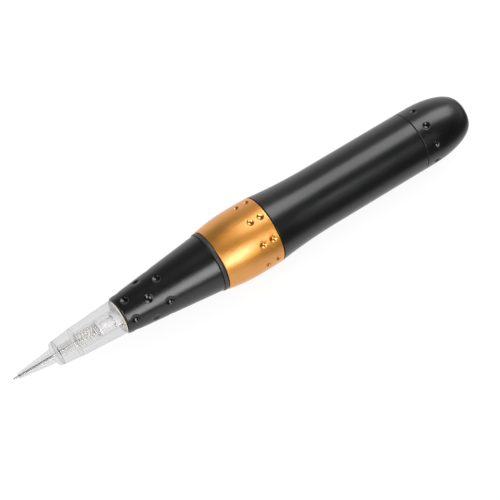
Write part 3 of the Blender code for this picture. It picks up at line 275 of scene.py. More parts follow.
# Cartridge nozzle: one clear moulding, a thin cone with a domed boss and a spigot behind it that
# is pushed into the shell's nose. The needle runs in its bore.
NOZZLE_X, NOZZLE_LENGTH = 0.0016, 0.0110
NOZZLE_TIP, NOZZLE_BASE = 0.00079, 0.00217
NOZZLE_BORE, NOZZLE_BASE_BORE = 0.00048, 0.0011
BOSS_LENGTH, BOSS_RADIUS, BOSS_CORNER = 0.00135, 0.00355, 0.0010
NOZZLE_SPIGOT_RADIUS, NOZZLE_SPIGOT_LENGTH = 0.0015, 0.00475
RIM_WIDTH, RIM_DEPTH = 0.00014, 0.0002
boss_x = NOZZLE_X + NOZZLE_LENGTH
boss_end = boss_x + BOSS_LENGTH
boss_round = [
    (boss_x + BOSS_CORNER * (1 - cos(turn)), BOSS_RADIUS - BOSS_CORNER * (1 - sin(turn)))
    for turn in (i * pi / 16 for i in range(9))
]


def clear_moulding(name, bore, skin, border, edges, flare=0.0):
    """Clear plastic that holds back a share of the light at its bore and more at its skin.

    The border between the two is so far off the axis, and may widen with the distance from the
    nozzle's tip. Edges are rims, as (distance from the tip, radius), that hold back more: painted
    shade for the dark lines that bent light draws along them.
    """
    made = Finish(name, {"IOR": 1.58})
    reach = made.from_axis()
    outer = reach.math("GREATER_THAN", reach - flare * (made.along - TIP_X - NOZZLE_X), border)
    streak = made.noise(1500, 2, (0.02, 1, 1))
    flow = made.noise(300, 2, (0.2, 1, 1))
    made.drive("Base Color", flow.mix((0.17, 0.165, 0.17, 1), (0.24, 0.235, 0.24, 1)))
    made.drive("Roughness", 0.36 + 0.05 * flow - 0.26 * outer)
    slanting = made.place.node("ShaderNodeLayerWeight", values={"Blend": 0.35}, out="Facing")
    alpha = bore + (skin - bore) * outer + 0.08 * (streak - 0.5)
    alpha = alpha + slanting * slanting * (0.12 + 0.08 * outer)
    # Painted shade: a dark line along each rim.
    for edge, radius in edges:
        near_shaded_rim = 1 - made.along.math("ABSOLUTE", made.along - TIP_X - edge) / RIM_WIDTH
        rim = reach.math("GREATER_THAN", reach, radius - RIM_DEPTH)
        alpha = alpha + 0.35 * near_shaded_rim.math("MAXIMUM", near_shaded_rim, 0.0) * rim
    made.drive("Alpha", alpha)
    made.bump(streak, 0.00001)
    return made.material


fit(turned("nozzle_moulding", [
    (NOZZLE_X, NOZZLE_TIP), (boss_x, NOZZLE_BASE), *boss_round, (boss_end, BOSS_RADIUS),
    *span(boss_end, boss_end + NOZZLE_SPIGOT_LENGTH, NOZZLE_SPIGOT_RADIUS),
], [
    (NOZZLE_X, NOZZLE_BORE), (boss_x, NOZZLE_BASE_BORE),
    (boss_end + NOZZLE_SPIGOT_LENGTH, NOZZLE_BASE_BORE),
], ease=0.00006), clear_moulding(
    "clear_nozzle", bore=0.06, skin=0.18, border=0.00064, edges=[(boss_end, BOSS_RADIUS)], flare=0.09,
), "clear_plastic", "grip", "cartridge_nozzle")

# Cartridge shell: a clear moulding with a thick nose and a thin wall over the spring's chamber,
# and two finger flats milled by the mould on its flared rear.
GAP, NOSE_GAP = 0.0003, 0.00005
SHELL_X, SHELL_NOSE = boss_end + NOSE_GAP, 0.0055
SHELL_FRONT, SHELL_SHOULDER, SHELL_REAR, SHELL_STEP = 0.00365, 0.00420, 0.00512, 0.00006
CHAMBER_RADIUS, NOSE_BORE = 0.0027, 0.0018
FACING = radians(205.2)
FLAT_DISTANCE, FLAT_ANGLE, FLAT_START = 0.00455, FACING - radians(37), 0.0001
SKIN_DEPTH, WASHER_SINK, SHELL_ROWS = 0.0005, 0.00025, 40
chamber_x = SHELL_X + SHELL_NOSE
shell_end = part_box("cartridge_shell")[1].x - TIP_X + WASHER_SINK
flare_radius = SHELL_SHOULDER + SHELL_STEP


def flats(along, radius, angle):
    """The shell's radius with its two flats taken off behind the nose."""
    across = abs(cos(angle - FLAT_ANGLE))
    outside = along > chamber_x + FLAT_START and radius > CHAMBER_RADIUS + SKIN_DEPTH
    return min(radius, FLAT_DISTANCE / across) if outside and across > 0.2 else radius


shell_rows = [
    (chamber_x + (shell_end - chamber_x) * i / SHELL_ROWS,
     flare_radius + (SHELL_REAR - flare_radius) * i / SHELL_ROWS)
    for i in range(SHELL_ROWS + 1)
]
fit(turned("shell_moulding", [
    (SHELL_X, SHELL_FRONT), (chamber_x, SHELL_SHOULDER), *shell_rows,
], span(SHELL_X, chamber_x, NOSE_BORE) + span(chamber_x, shell_end, CHAMBER_RADIUS),
    sides=180, trim=flats), clear_moulding(
        "clear_shell", bore=0.03, skin=0.195, border=0.0034,
        edges=[(SHELL_X, SHELL_FRONT), (chamber_x, SHELL_SHOULDER)],
    ), "clear_plastic", "grip", "cartridge_shell")

# Cartridge spring: thin hard wire wound on a mandrel with closed ends. It stands between the
# shell's nose and the plunger's flange, and is made in two halves so that each end follows its seat.
SPRING_RADIUS, SPRING_WIRE, SPRING_TURNS, SPRING_ROOM = 0.0019, 0.00034, 8.0, 0.0070
flange_x = chamber_x + SPRING_ROOM


def new_tree(name, inputs):
    """A Geometry Nodes tree with named inputs; gives the tree, its inputs and what closes it."""
    tree = bpy.data.node_groups.new(name, "GeometryNodeTree")
    kinds = {int: "NodeSocketInt", float: "NodeSocketFloat", type(None): "NodeSocketMaterial"}
    tree.interface.new_socket("Geometry", in_out="INPUT", socket_type="NodeSocketGeometry")
    tree.interface.new_socket("Geometry", in_out="OUTPUT", socket_type="NodeSocketGeometry")
    for label, value in inputs.items():
        socket = tree.interface.new_socket(label, in_out="INPUT", socket_type=kinds[type(value)])
        if value is not None:
            socket.default_value = value
    entry, leave = tree.nodes.new("NodeGroupInput"), tree.nodes.new("NodeGroupOutput")
    sockets = {item.name: Socket(tree, item) for item in entry.outputs if item.name}

    def close(geometry):
        whole = geometry.node("GeometryNodeRealizeInstances", values={0: geometry})
        painted = whole.node("GeometryNodeSetMaterial", values={0: whole, "Material": sockets["Finish"]})
        tree.links.new(painted.socket, leave.inputs[0])

    return tree, sockets, close


def grow(piece, tree, values):
    """Run a tree on a piece, its inputs set by identifier, and keep the result as a plain mesh."""
    modifier = piece.modifiers.new(tree.name, "NODES")
    modifier.node_group = tree
    for item in tree.interface.items_tree:
        if item.in_out == "INPUT" and item.name in values:
            modifier[item.identifier] = values[item.name]
    evaluated = piece.evaluated_get(bpy.context.evaluated_depsgraph_get())
    mesh = bpy.data.meshes.new_from_object(evaluated)
    piece.modifiers.clear()
    piece.data = mesh
    return piece


def blank(name):
    """An empty mesh object for a tree to fill."""
    piece = bpy.data.objects.new(name, bpy.data.meshes.new(name))
    bpy.context.scene.collection.objects.link(piece)
    return piece


def straight_line(steps):
    """A line of so many points, for a tree to bend."""
    line = steps.node("GeometryNodeCurvePrimitiveLine")
    return line.node("GeometryNodeResampleCurve", values={"Curve": line, "Count": steps})


def bent_wire(line, spot, wire, sides):
    """A round wire through the spots of a line's points, with its ends closed."""
    line = line.node("GeometryNodeSetPosition", values={"Geometry": line, "Position": spot})
    section = line.node("GeometryNodeCurvePrimitiveCircle", values={
        "Resolution": sides, "Radius": wire * 0.5,
    })
    tube = line.node("GeometryNodeCurveToMesh", values={
        "Curve": line, "Profile Curve": section, "Fill Caps": True,
    })
    return tube.node("GeometryNodeSetShadeSmooth", values={0: tube})


winding_rule, coil, close = new_tree("wound_spring", {
    "Start": 0.0, "End": 0.01, "Radius": 0.002, "Wire": 0.0004, "Turns": 6.0, "From": 0.0, "To": 1.0,
    "Axis Height": 0.01, "Steps": 400, "Finish": None,
})
line = straight_line(coil["Steps"])
share = coil["From"] + line.node("GeometryNodeSplineParameter") * (coil["To"] - coil["From"])
end_share = 1 / coil["Turns"]
seat = share.math("MINIMUM", share / end_share, 1.0)
seat = seat + share.math("MAXIMUM", (share - 1 + end_share) / end_share, 0.0)
rise = ((share - end_share) / (1 - 2 * end_share)).clamp()
length = coil["End"] - coil["Start"] - coil["Wire"]
seat_pitch = coil["Wire"] * 1.02
height = coil["Start"] + coil["Wire"] * 0.5 + seat_pitch * seat + (length - seat_pitch * 2) * rise
turn = share * coil["Turns"] * (2 * pi)
spot = turn.node("ShaderNodeCombineXYZ", values={
    0: height, 1: coil["Radius"] * turn.math("SINE", turn),
    2: coil["Axis Height"] - coil["Radius"] * turn.math("COSINE", turn),
})
close(bent_wire(line, spot, coil["Wire"], 12))


def grained(name, values, per_metre, detail, dark, light, roughness, spread, depth):
    """A material whose one fine grain carries its colour, its gloss and its relief."""
    made = Finish(name, values)
    grain = made.noise(per_metre, detail)
    made.drive("Base Color", grain.mix((*dark, 1), (*light, 1)))
    made.drive("Roughness", roughness + spread * grain)
    made.bump(grain, depth)
    return made.material


spring_steel = grained(
    "spring_wire", {"Metallic": 1.0}, 5200, 2, (0.84, 0.83, 0.80), (0.97, 0.96, 0.93),
    roughness=0.40, spread=0.14, depth=0.000003,
)
handpiece_point = (TIP_X + (chamber_x + flange_x) / 2, 0, AXIS_Z)
for half, low, high, start, bodies in (
    ("front", 0.0, 0.5, chamber_x, ("grip", "handpiece")),
    ("rear", 0.5, 1.0, flange_x, ("needle_drive", "handpiece")),
):
    wound = grow(blank(f"cartridge_spring_{half}"), winding_rule, {
        "Start": TIP_X + chamber_x + GAP / 2, "End": TIP_X + flange_x - GAP / 2, "Radius": SPRING_RADIUS,
        "Wire": SPRING_WIRE, "Turns": SPRING_TURNS, "From": low, "To": high, "Axis Height": AXIS_Z,
        "Steps": 240, "Finish": spring_steel,
    })
    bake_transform(wound, *bodies, (TIP_X + start, 0, AXIS_Z), handpiece_point)
    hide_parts("cartridge_spring")

# Plunger and its tail: two milky mouldings pushed together. The plunger's flange carries the spring
# and its nose holds the needle, and its stem runs back through the bush to the drive.
HUB_NOSE_RADIUS, HUB_NOSE_LENGTH, HUB_FLANGE = 0.0012, 0.0011, 0.0006
PLUG_RADIUS, STEM_RADIUS, HUB_STEM = 0.0024, 0.00125, 0.0168
HUB_SPIGOT_RADIUS, HUB_SPIGOT_LENGTH = 0.0006, 0.0030
flange_end = flange_x + HUB_FLANGE
stem_end = flange_end + HUB_STEM
tail_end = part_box("tail_tube")[1].x - TIP_X
milky = Finish("milky_moulding", {"IOR": 1.49})
cloud = milky.noise(700, 3)
milky.drive("Base Color", cloud.mix((0.69, 0.68, 0.69, 1), (0.81, 0.80, 0.80, 1)))
milky.drive("Roughness", 0.28 + 0.14 * cloud)
milky.bump(milky.noise(5200, 2), 0.000004)
fit(turned("plunger_moulding", [
    (flange_x - HUB_NOSE_LENGTH, HUB_NOSE_RADIUS), (flange_x, HUB_NOSE_RADIUS),
    *span(flange_x, flange_end, PLUG_RADIUS), *span(flange_end, stem_end, STEM_RADIUS),
    *span(stem_end, stem_end + HUB_SPIGOT_LENGTH, HUB_SPIGOT_RADIUS),
], [
    (flange_x - HUB_NOSE_LENGTH, NEEDLE_RADIUS + GAP), (needle_end + GAP, NEEDLE_RADIUS + GAP),
    (needle_end + GAP, NEEDLE_RADIUS), (stem_end + HUB_SPIGOT_LENGTH, NEEDLE_RADIUS),
], sides=72), milky.material, "white_plastic", "needle_drive", "needle_hub")
tail_floor = stem_end + HUB_SPIGOT_LENGTH + GAP
fit(turned("tail_moulding", span(stem_end + GAP, tail_end, STEM_RADIUS), [
    (stem_end + GAP, HUB_SPIGOT_RADIUS + GAP), (tail_floor, HUB_SPIGOT_RADIUS + GAP),
    (tail_floor, NEEDLE_RADIUS), (tail_end, NEEDLE_RADIUS),
], sides=64), milky.material, "white_plastic", "needle_drive", "tail_tube")

# Cartridge bush, washer and rear cap: the milky threaded bush closes the shell and screws into the
# grip, the cream rubber washer seals between them, and the cap is pushed on the bush's spigot.
bush_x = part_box("cartridge_bush")[0].x - TIP_X
washer_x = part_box("cartridge_washer")[0].x - TIP_X
GRIP_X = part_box("front_grip")[0].x - TIP_X
BUSH_RADIUS, BUSH_LENGTH, STEM_BORE = 0.0039, 0.0078, 0.00155
BUSH_SPIGOT_RADIUS, BUSH_SPIGOT_LENGTH = 0.0022, 0.0020
CAP_RADIUS, CAP_LENGTH, CAP_CHAMFER = 0.0036, 0.0090, 0.0010
BUSH_PITCH, BUSH_THREAD, BUSH_CHAMFER, THREAD_STEP = 0.0008, 0.00022, 0.0003, 0.0001
WASHER_FRONT, WASHER_BACK, WASHER_INSET = 0.00008, 0.00032, 0.0002
WASHER_RIM, RIM_FADE = 0.0046, 1 / 6000
CREAM, DULL_CREAM = (0.82, 0.81, 0.79, 1), (0.66, 0.56, 0.42, 1)
bush_end = GRIP_X + BUSH_LENGTH
thread_x, thread_end = GRIP_X + BUSH_CHAMFER, bush_end - BUSH_CHAMFER


def rows(start, end, step, radius):
    """Outline points at one radius, close enough together to carry a thread."""
    count = round((end - start) / step)
    return [(start + (end - start) * i / count, radius) for i in range(count + 1)]


def thread(start, end, near, pitch, depth):
    """A trim that cuts a screw thread into the surface at a radius, outward where depth is negative.

    The groove has flat lands and slanting flanks, and runs out over its first and last turn.
    """
    steepness, land = 3.2, 0.3

    def cut(along, radius, angle):
        if not start < along < end or abs(radius - near) > 0.00001:
            return radius
        flank = abs((along / pitch + angle / (2 * pi)) % 1 - 0.5) * steepness - land
        return radius - depth * min(1, max(0, flank), (along - start) / pitch, (end - along) / pitch)
    return cut


fit(turned("bush_moulding", [
    *span(bush_x, GRIP_X, PLUG_RADIUS), (GRIP_X, BUSH_RADIUS - BUSH_CHAMFER),
    *rows(thread_x, thread_end, THREAD_STEP, BUSH_RADIUS),
    (bush_end, BUSH_RADIUS - BUSH_CHAMFER),
    *span(bush_end, bush_end + BUSH_SPIGOT_LENGTH, BUSH_SPIGOT_RADIUS),
], span(bush_x, bush_end + BUSH_SPIGOT_LENGTH, STEM_BORE), ease=0.00005,
    trim=thread(thread_x, thread_end, BUSH_RADIUS, BUSH_PITCH, BUSH_THREAD)),
    milky.material, "white_plastic", "grip", "cartridge_bush")
cream = Finish("cream_rubber_washer", {"IOR": 1.5, "Sheen Weight": 0.2})
fleck = cream.noise(2600, 3)
rim = ((cream.from_axis() - WASHER_RIM) / RIM_FADE).clamp().mix(CREAM, DULL_CREAM)
cream.drive("Base Color", rim.node("ShaderNodeMix", {"data_type": "RGBA", "blend_type": "MULTIPLY"}, {
    0: 0.3 * fleck, 6: rim, 7: (0.70, 0.62, 0.50, 1),
}, 2))
cream.drive("Roughness", 0.5 + 0.2 * fleck)
cream.bump(fleck, 0.00001)
washer_faces = washer_x + WASHER_FRONT, washer_x + WASHER_BACK
fit(turned("rubber_washer", span(*washer_faces, SHELL_REAR - WASHER_INSET),
           span(*washer_faces, CHAMBER_RADIUS), ease=0.00005),
    cream.material, "cream_rubber", "grip", "cartridge_washer")
cap_x = bush_end + GAP
cap_end = cap_x + CAP_LENGTH
cap_step = bush_end + BUSH_SPIGOT_LENGTH + GAP
fit(turned("cartridge_cap_moulding", [
    *span(cap_x, cap_end - CAP_CHAMFER, CAP_RADIUS), (cap_end, CAP_RADIUS - CAP_CHAMFER),
], span(cap_x, cap_step, BUSH_SPIGOT_RADIUS + GAP) + span(cap_step, cap_end, STEM_BORE), ease=0.0002),
    milky.material, "white_plastic", "grip", "cartridge_rear_cap")

# Front grip: a turned aluminium cone, blasted and anodised black, with three rows of round dimples
# and a threaded skirt that enters the depth ring. A brass insert inside it takes the cartridge.
GRIP_LENGTH = 0.0289
GRIP_FRONT, GRIP_REAR = 0.0055, 0.00866
SKIRT_RADIUS, SKIRT_END = 0.0075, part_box("front_grip")[1].x - TIP_X
MOUTH_BORE, INSERT_BORE = 0.0042, 0.0052
INSERT_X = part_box("grip_insert")[0].x - TIP_X
NECK_SLIDE, NECK_ROOM_X = 0.0069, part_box("neck_tube")[0].x - TIP_X - GAP
grip_rows = (0.0024, 0.0079, 0.0129)
GRIP_DIMPLE, GRIP_DIMPLE_DEPTH = 0.00122, 0.00048
grip_slope = (GRIP_REAR - GRIP_FRONT) / GRIP_LENGTH

dimple_rule, pit, close = new_tree("dimple_row", {
    "Place": 0.0, "First Angle": 0.0, "Count": 6, "Dimple Radius": 0.001, "Depth": 0.0004,
    "Rim": 0.0001, "Cone": 0.0, "Inner Radius": 0.005, "Axis Height": 0.01, "Finish": None,
})
along = pit["Place"].node("ShaderNodeSeparateXYZ", values={0: pit["Place"].node("GeometryNodeInputPosition")})
sideways, down = along.other("Y"), pit["Axis Height"] - along.other("Z")
radius = along.math("SQRT", sideways * sideways + down * down)
turn = (along.math("ARCTAN2", sideways, down) - pit["First Angle"]) * pit["Count"] / (2 * pi)
turn = (turn - turn.math("ROUND", turn)) * (2 * pi) / pit["Count"] * radius
away = (along - pit["Place"]) * (along - pit["Place"]) + turn * turn
ball = (pit["Dimple Radius"] * pit["Dimple Radius"] + pit["Depth"] * pit["Depth"]) / (pit["Depth"] * 2)
sag = along.math("SQRT", along.math("MAXIMUM", ball * ball - away, 0.0)) - (ball - pit["Depth"])
drilled = pit["Depth"] * (1.06 - along.math("SQRT", away + pit["Rim"] * pit["Rim"]) / pit["Dimple Radius"])
sag = sag + pit["Cone"] * (drilled - sag)
outside = along.math("GREATER_THAN", radius, pit["Inner Radius"])
pressed = along.math("SMOOTH_MAX", sag, 0.0, pit["Rim"]) * outside
inward = along.node("ShaderNodeCombineXYZ", values={
    0: 0.0, 1: 0 - sideways / radius * pressed, 2: down / radius * pressed,
})
cut = along.node("GeometryNodeInputNamedAttribute", {"data_type": "FLOAT"}, {"Name": "dimple"})
cut = cut.math("MAXIMUM", cut, along.math("MINIMUM", pressed * 30000, 1.0))
marked = along.node("GeometryNodeStoreNamedAttribute", {"data_type": "FLOAT", "domain": "POINT"}, {
    "Geometry": pit["Geometry"], "Name": "dimple", "Value": cut,
})
close(along.node("GeometryNodeSetPosition", values={"Geometry": marked, "Offset": inward}))


def stations(start, end, rows, half, step, rest):
    """Places from start to end, close together within half of each row and far apart elsewhere."""
    places, here = [], start
    while here < end - rest * 0.3:
        places.append(here)
        near = min(abs(here + step / 2 - row) for row in rows) < half
        ahead = min([row - half for row in rows if row - half > here + 1e-7], default=end)
        here += step if near else min(rest, max(ahead - here, step))
    return places + [end]


DEEP_BLACK, WORN_BLACK = (0.0008, 0.0008, 0.0009, 1), (0.003, 0.003, 0.0034, 1)
black = Finish("blasted_black", {"IOR": 1.58})
grain = black.noise(6500, 2)
handled = black.noise(110, 4)
black.drive("Base Color", (0.5 * grain + 0.5 * handled).mix(DEEP_BLACK, WORN_BLACK))
milled = black.place.node("ShaderNodeAttribute", {"attribute_name": "dimple"}, out=2)
black.drive("Roughness", 0.29 + 0.07 * (handled - 0.5) + 0.08 * (grain - 0.5) - 0.10 * milled)
black.bump(grain, 0.0000065)
MOUTH_EDGE, GRIP_CHAMFER, END_ROOM = 0.00015, 0.0001, 0.0003
SKIRT_PLAIN, SKIRT_PITCH, SKIRT_THREAD, THREAD_ROOM = 0.0015, 0.0010, 0.0002, 0.0002
GRIP_TRAVEL, SLOT_EDGE = 0.0020, 0.00002
key_front, key_back = (corner.x - TIP_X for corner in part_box("key_pin"))
KEY_TOP = AXIS_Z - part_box("key_pin")[0].z + GAP
key_half = (key_back - key_front) / 2 + GAP
key_slot = (key_front - GAP, key_back + GAP + GRIP_TRAVEL)
grip_end = GRIP_X + GRIP_LENGTH
skirt_cut = thread(
    grip_end + SKIRT_PLAIN + THREAD_STEP, SKIRT_END - THREAD_ROOM, SKIRT_RADIUS, SKIRT_PITCH, SKIRT_THREAD,
)


def keyed(along, radius, angle):
    """The grip's radius with its skirt threaded, and the key pin's slot low in its bore."""
    radius = skirt_cut(along, radius, angle)
    inside = key_slot[0] < along < key_slot[1] and radius < SKIRT_RADIUS and cos(angle) > 0
    return KEY_TOP / cos(angle) if inside and abs(radius * sin(angle)) < key_half else radius


grip_places = stations(
    GRIP_X, grip_end, [GRIP_X + row for row in grip_rows], half=0.0014, step=0.000095, rest=0.0012,
)
mouth_x = GRIP_X - MOUTH_EDGE
grip = turned("grip_shell", [
    (mouth_x, GRIP_FRONT - MOUTH_EDGE), (GRIP_X + GRIP_CHAMFER, GRIP_FRONT), *[
        (place, GRIP_FRONT + (place - GRIP_X) * grip_slope)
        for place in grip_places if GRIP_X + END_ROOM < place < grip_end - END_ROOM
    ], (grip_end - GRIP_CHAMFER, GRIP_REAR), (grip_end, GRIP_REAR - GRIP_CHAMFER), (grip_end, SKIRT_RADIUS),
    *rows(grip_end + SKIRT_PLAIN, SKIRT_END, THREAD_STEP, SKIRT_RADIUS),
], [
    *span(mouth_x, INSERT_X - GAP, MOUTH_BORE), *span(INSERT_X - GAP, NECK_ROOM_X, INSERT_BORE),
    (NECK_ROOM_X, NECK_SLIDE), *[
        (place, NECK_SLIDE) for edge in key_slot for place in (edge - SLOT_EDGE, edge + SLOT_EDGE)
    ], (SKIRT_END, NECK_SLIDE),
], sides=384, ease=0.00015, trim=keyed)
for number, row in enumerate(grip_rows):
    grow(grip, dimple_rule, {
        "Place": TIP_X + GRIP_X + row, "First Angle": FACING + (1 - number % 2) * pi / 6, "Count": 6,
        "Dimple Radius": GRIP_DIMPLE, "Depth": GRIP_DIMPLE_DEPTH, "Rim": 0.00012,
        "Inner Radius": 0.0052, "Axis Height": AXIS_Z, "Finish": black.material,
    })
fit(grip, black.material, "black_anodised", "grip", "front_grip")
brass = metal("turned_brass", (0.62, 0.42, 0.14), (0.80, 0.60, 0.26), 0.28, 0.000003)
INSERT_WALL, INSERT_THREAD_RADIUS, INSERT_THREAD = 0.0007, BUSH_RADIUS + 0.00012, 0.00018
KNURL_DEPTH, KNURLS = 0.00004, 60
insert_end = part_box("grip_insert")[1].x - TIP_X
insert_cut = thread(
    INSERT_X + THREAD_ROOM, insert_end - THREAD_ROOM, INSERT_THREAD_RADIUS, BUSH_PITCH, -INSERT_THREAD,
)


def knurled(along, radius, angle):
    """The insert's radius with its bore threaded and its outside knurled, to grip the aluminium."""
    if radius > MOUTH_BORE + INSERT_WALL / 2:
        return radius - KNURL_DEPTH * (1 + cos(KNURLS * angle))
    return insert_cut(along, radius, angle)


fit(turned("knurled_insert", span(INSERT_X, insert_end, MOUTH_BORE + INSERT_WALL),
           rows(INSERT_X, insert_end, THREAD_STEP, INSERT_THREAD_RADIUS),
           sides=360, ease=0.00012, trim=knurled),
    brass, "brass", "grip", "grip_insert")

# Rubber ring: a black rubber cord ring squeezed between the grip and the depth ring, where it
# stops the thread from turning by itself.
SEAL_LENGTH, SEAL_HEIGHT, SEAL_POINTS = 0.0012, 0.0012, 40
seal_x = (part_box("grip_seal")[0].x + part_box("grip_seal")[1].x) / 2 - TIP_X
seal_radius = SKIRT_RADIUS + GAP + SEAL_HEIGHT / 2
rubber = grained(
    "black_rubber_ring", {"IOR": 1.5}, 3800, 3, (0.010, 0.009, 0.009), (0.032, 0.030, 0.029),
    roughness=0.34, spread=0.16, depth=0.000008,
)


def squared(share):
    """A share of a circle's half-width, pushed out so that the round section becomes squarish."""
    return (1 if share > 0 else -1) * abs(share) ** 0.55


ring_section = [
    (seal_x - SEAL_LENGTH / 2 * squared(cos(turn)), seal_radius + SEAL_HEIGHT / 2 * squared(sin(turn)))
    for turn in (i * 2 * pi / SEAL_POINTS for i in range(SEAL_POINTS))
]
half_way = SEAL_POINTS // 2
fit(turned("rubber_ring", ring_section[:half_way + 1], ring_section[:half_way:-1], sides=192, ease=0.00001),
    rubber, "black_rubber", "grip", "grip_seal")

# Depth ring: turned aluminium with a soft crown, blasted and anodised gold, with two rows of
# dimples for the fingers. It turns on the barrel's spigot and drives the grip by its thread.
RING_X, RING_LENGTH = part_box("depth_ring")[0].x - TIP_X, 0.0176
RING_RADIUS, RING_FRONT, RING_REAR = AXIS_Z, 0.00915, 0.01017
RING_CROWN, RING_POWER = 0.65 * RING_LENGTH, 2.1
RING_THREAD, RING_STEP, CLIP_BORE, RING_BORE = SKIRT_RADIUS + 0.0001, 0.00014, 0.0092, 0.0086
ring_dimple_insets = (0.0053, 0.0020)
SPIGOT_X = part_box("barrel")[0].x - TIP_X
CLIP_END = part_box("snap_ring")[1].x - TIP_X
ring_end = RING_X + RING_LENGTH


def ring_radius(place):
    """Outside radius of the depth ring at a distance from its front edge."""
    if place < RING_CROWN:
        return RING_RADIUS - (RING_RADIUS - RING_FRONT) * (1 - place / RING_CROWN) ** RING_POWER
    return RING_RADIUS - (RING_RADIUS - RING_REAR) * ((place - RING_CROWN) / (RING_LENGTH - RING_CROWN)) ** 2


DEEP_GOLD, PALE_GOLD = (0.58, 0.218, 0.022, 1), (0.93, 0.425, 0.085, 1)
gold = Finish("blasted_gold", {
    "Metallic": 1.0, "Specular Tint": (1.0, 0.70, 0.40, 1),
    "Coat Weight": 0.9, "Coat Roughness": 0.25, "Coat IOR": 1.60,
})
grain = gold.noise(2100, 5, rough=0.85)
handled = gold.noise(240, 4)
gold.drive("Base Color", (0.55 * grain + 0.45 * handled).mix(DEEP_GOLD, PALE_GOLD))
milled = gold.place.node("ShaderNodeAttribute", {"attribute_name": "dimple"}, out=2)
gold.drive("Roughness", 0.40 + 0.08 * (handled - 0.5) + 0.12 * (grain - 0.5) - 0.13 * milled)
gold.bump(grain * (1 - 0.75 * milled), 0.00005)
ring_places = stations(
    RING_X, ring_end, [ring_end - inset for inset in ring_dimple_insets],
    half=0.0013, step=0.0001, rest=0.0006,
)
clip_front, clip_back = SPIGOT_X - GAP, CLIP_END + GAP
ring_cut = thread(
    RING_X + 2 * THREAD_ROOM, clip_front - THREAD_ROOM, RING_THREAD, SKIRT_PITCH, -SKIRT_THREAD,
)
ring = turned("depth_ring_shell", [(place, ring_radius(place - RING_X)) for place in ring_places], [
    *rows(RING_X, clip_front, RING_STEP, RING_THREAD), *span(clip_front, clip_back, CLIP_BORE),
    *span(clip_back, ring_end, RING_BORE),
], sides=480, ease=0.00028, trim=ring_cut)
for inset in ring_dimple_insets:
    grow(ring, dimple_rule, {
        "Place": TIP_X + ring_end - inset, "First Angle": FACING + pi / 9, "Count": 9,
        "Dimple Radius": 0.00102, "Depth": 0.00055, "Rim": 0.00012, "Cone": 0.25, "Inner Radius": 0.0094,
        "Axis Height": AXIS_Z, "Finish": gold.material,
    })
fit(ring, gold.material, "gold_anodised", "ring", "depth_ring")

# Neck tube, its key pin and guide bush, and the snap ring: the aluminium tube carries the sliding
# grip, the bronze bush guides the push rod, and the snap ring holds the depth ring on the barrel.


def machined(material, slot, body, *nodes, edge=0.00006, crease=35):
    """Copies of CAD nodes with their triangles joined, their round faces smooth and their edges broken."""
    for node in nodes:
        work = bmesh.new()
        work.from_mesh(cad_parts[node].data)
        bmesh.ops.remove_doubles(work, verts=work.verts, dist=0.000002)
        bmesh.ops.dissolve_limit(work, angle_limit=radians(0.5), verts=work.verts, edges=work.edges)
        piece = blank(f"{node}_piece")
        work.to_mesh(piece.data)
        work.free()
        bevel = piece.modifiers.new("edges", "BEVEL")
        bevel.width, bevel.segments, bevel.limit_method, bevel.angle_limit = edge, 2, "ANGLE", radians(crease)
        mesh = bpy.data.meshes.new_from_object(piece.evaluated_get(bpy.context.evaluated_depsgraph_get()))
        piece.modifiers.clear()
        piece.data = mesh
        mesh.shade_smooth()
        mesh.set_sharp_from_angle(angle=radians(crease))
        fit(piece, material, slot, body, node)


aluminium = metal("turned_aluminium", (0.66, 0.66, 0.68), (0.82, 0.82, 0.84), 0.30, 0.000003)
bronze = grained(
    "sintered_bronze", {"Metallic": 1.0}, 4200, 4, (0.30, 0.17, 0.08), (0.66, 0.42, 0.22),
    roughness=0.38, spread=0.25, depth=0.00001,
)
machined(aluminium, "aluminium", "handpiece", "neck_tube")
machined(bronze, "bronze", "handpiece", "guide_bush")
machined(spring_steel, "spring_steel", "handpiece", "snap_ring")
machined(polished_steel, "steel", "handpiece", "key_pin")

# Drive: the steel socket grips the cartridge's tail, and a push rod joins it to the cam follower,
# which the return spring holds against the slanted cam.
RETURN_RADIUS, RETURN_WIRE, RETURN_TURNS = 0.0024, 0.00045, 5.0
guide_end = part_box("guide_bush")[1].x - TIP_X
follower_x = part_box("cam_follower")[0].x - TIP_X
wound = grow(blank("return_spring_wire"), winding_rule, {
    "Start": TIP_X + guide_end + GAP / 2, "End": TIP_X + follower_x - GAP / 2, "Radius": RETURN_RADIUS,
    "Wire": RETURN_WIRE, "Turns": RETURN_TURNS, "Axis Height": AXIS_Z, "Steps": 320, "Finish": spring_steel,
})
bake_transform(wound, "handpiece", "needle_drive", (TIP_X + guide_end, 0, AXIS_Z), (TIP_X + follower_x, 0, AXIS_Z))
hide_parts("return_spring")
machined(polished_steel, "steel", "needle_drive", "drive_socket", "socket_screw", "push_rod", "cam_follower",
         "follower_button", "guide_pin")
machined(polished_steel, "steel", "rotor", "slant_cam", "cam_screw")

# Motor: a plated steel can with two magnets, a three-pole core with its windings and commutator,
# two bronze bearings, and a plastic end cap with the brushes and terminals.
can = metal("plated_can", (0.56, 0.56, 0.55), (0.74, 0.73, 0.71), 0.33, 0.000004, 5000)
ferrite = grained(
    "ferrite", {"IOR": 1.6}, 3600, 4, (0.05, 0.05, 0.055), (0.14, 0.14, 0.145),
    roughness=0.6, spread=0.25, depth=0.00001,
)
iron = metal("stacked_iron", (0.20, 0.20, 0.21), (0.46, 0.46, 0.48), 0.45, 0.00003, 2600)
copper = Finish("enamelled_copper", {"Metallic": 1.0, "Coat Roughness": 0.12})
turn = copper.noise(2400, 2, (0.15, 1, 1))
copper.drive("Base Color", turn.mix((0.50, 0.17, 0.07, 1), (0.82, 0.38, 0.20, 1)))
copper.drive("Roughness", 0.22 + 0.2 * turn)
copper.drive("Coat Weight", 0.5 + 0.4 * turn)
copper.bump(turn, 0.00004)
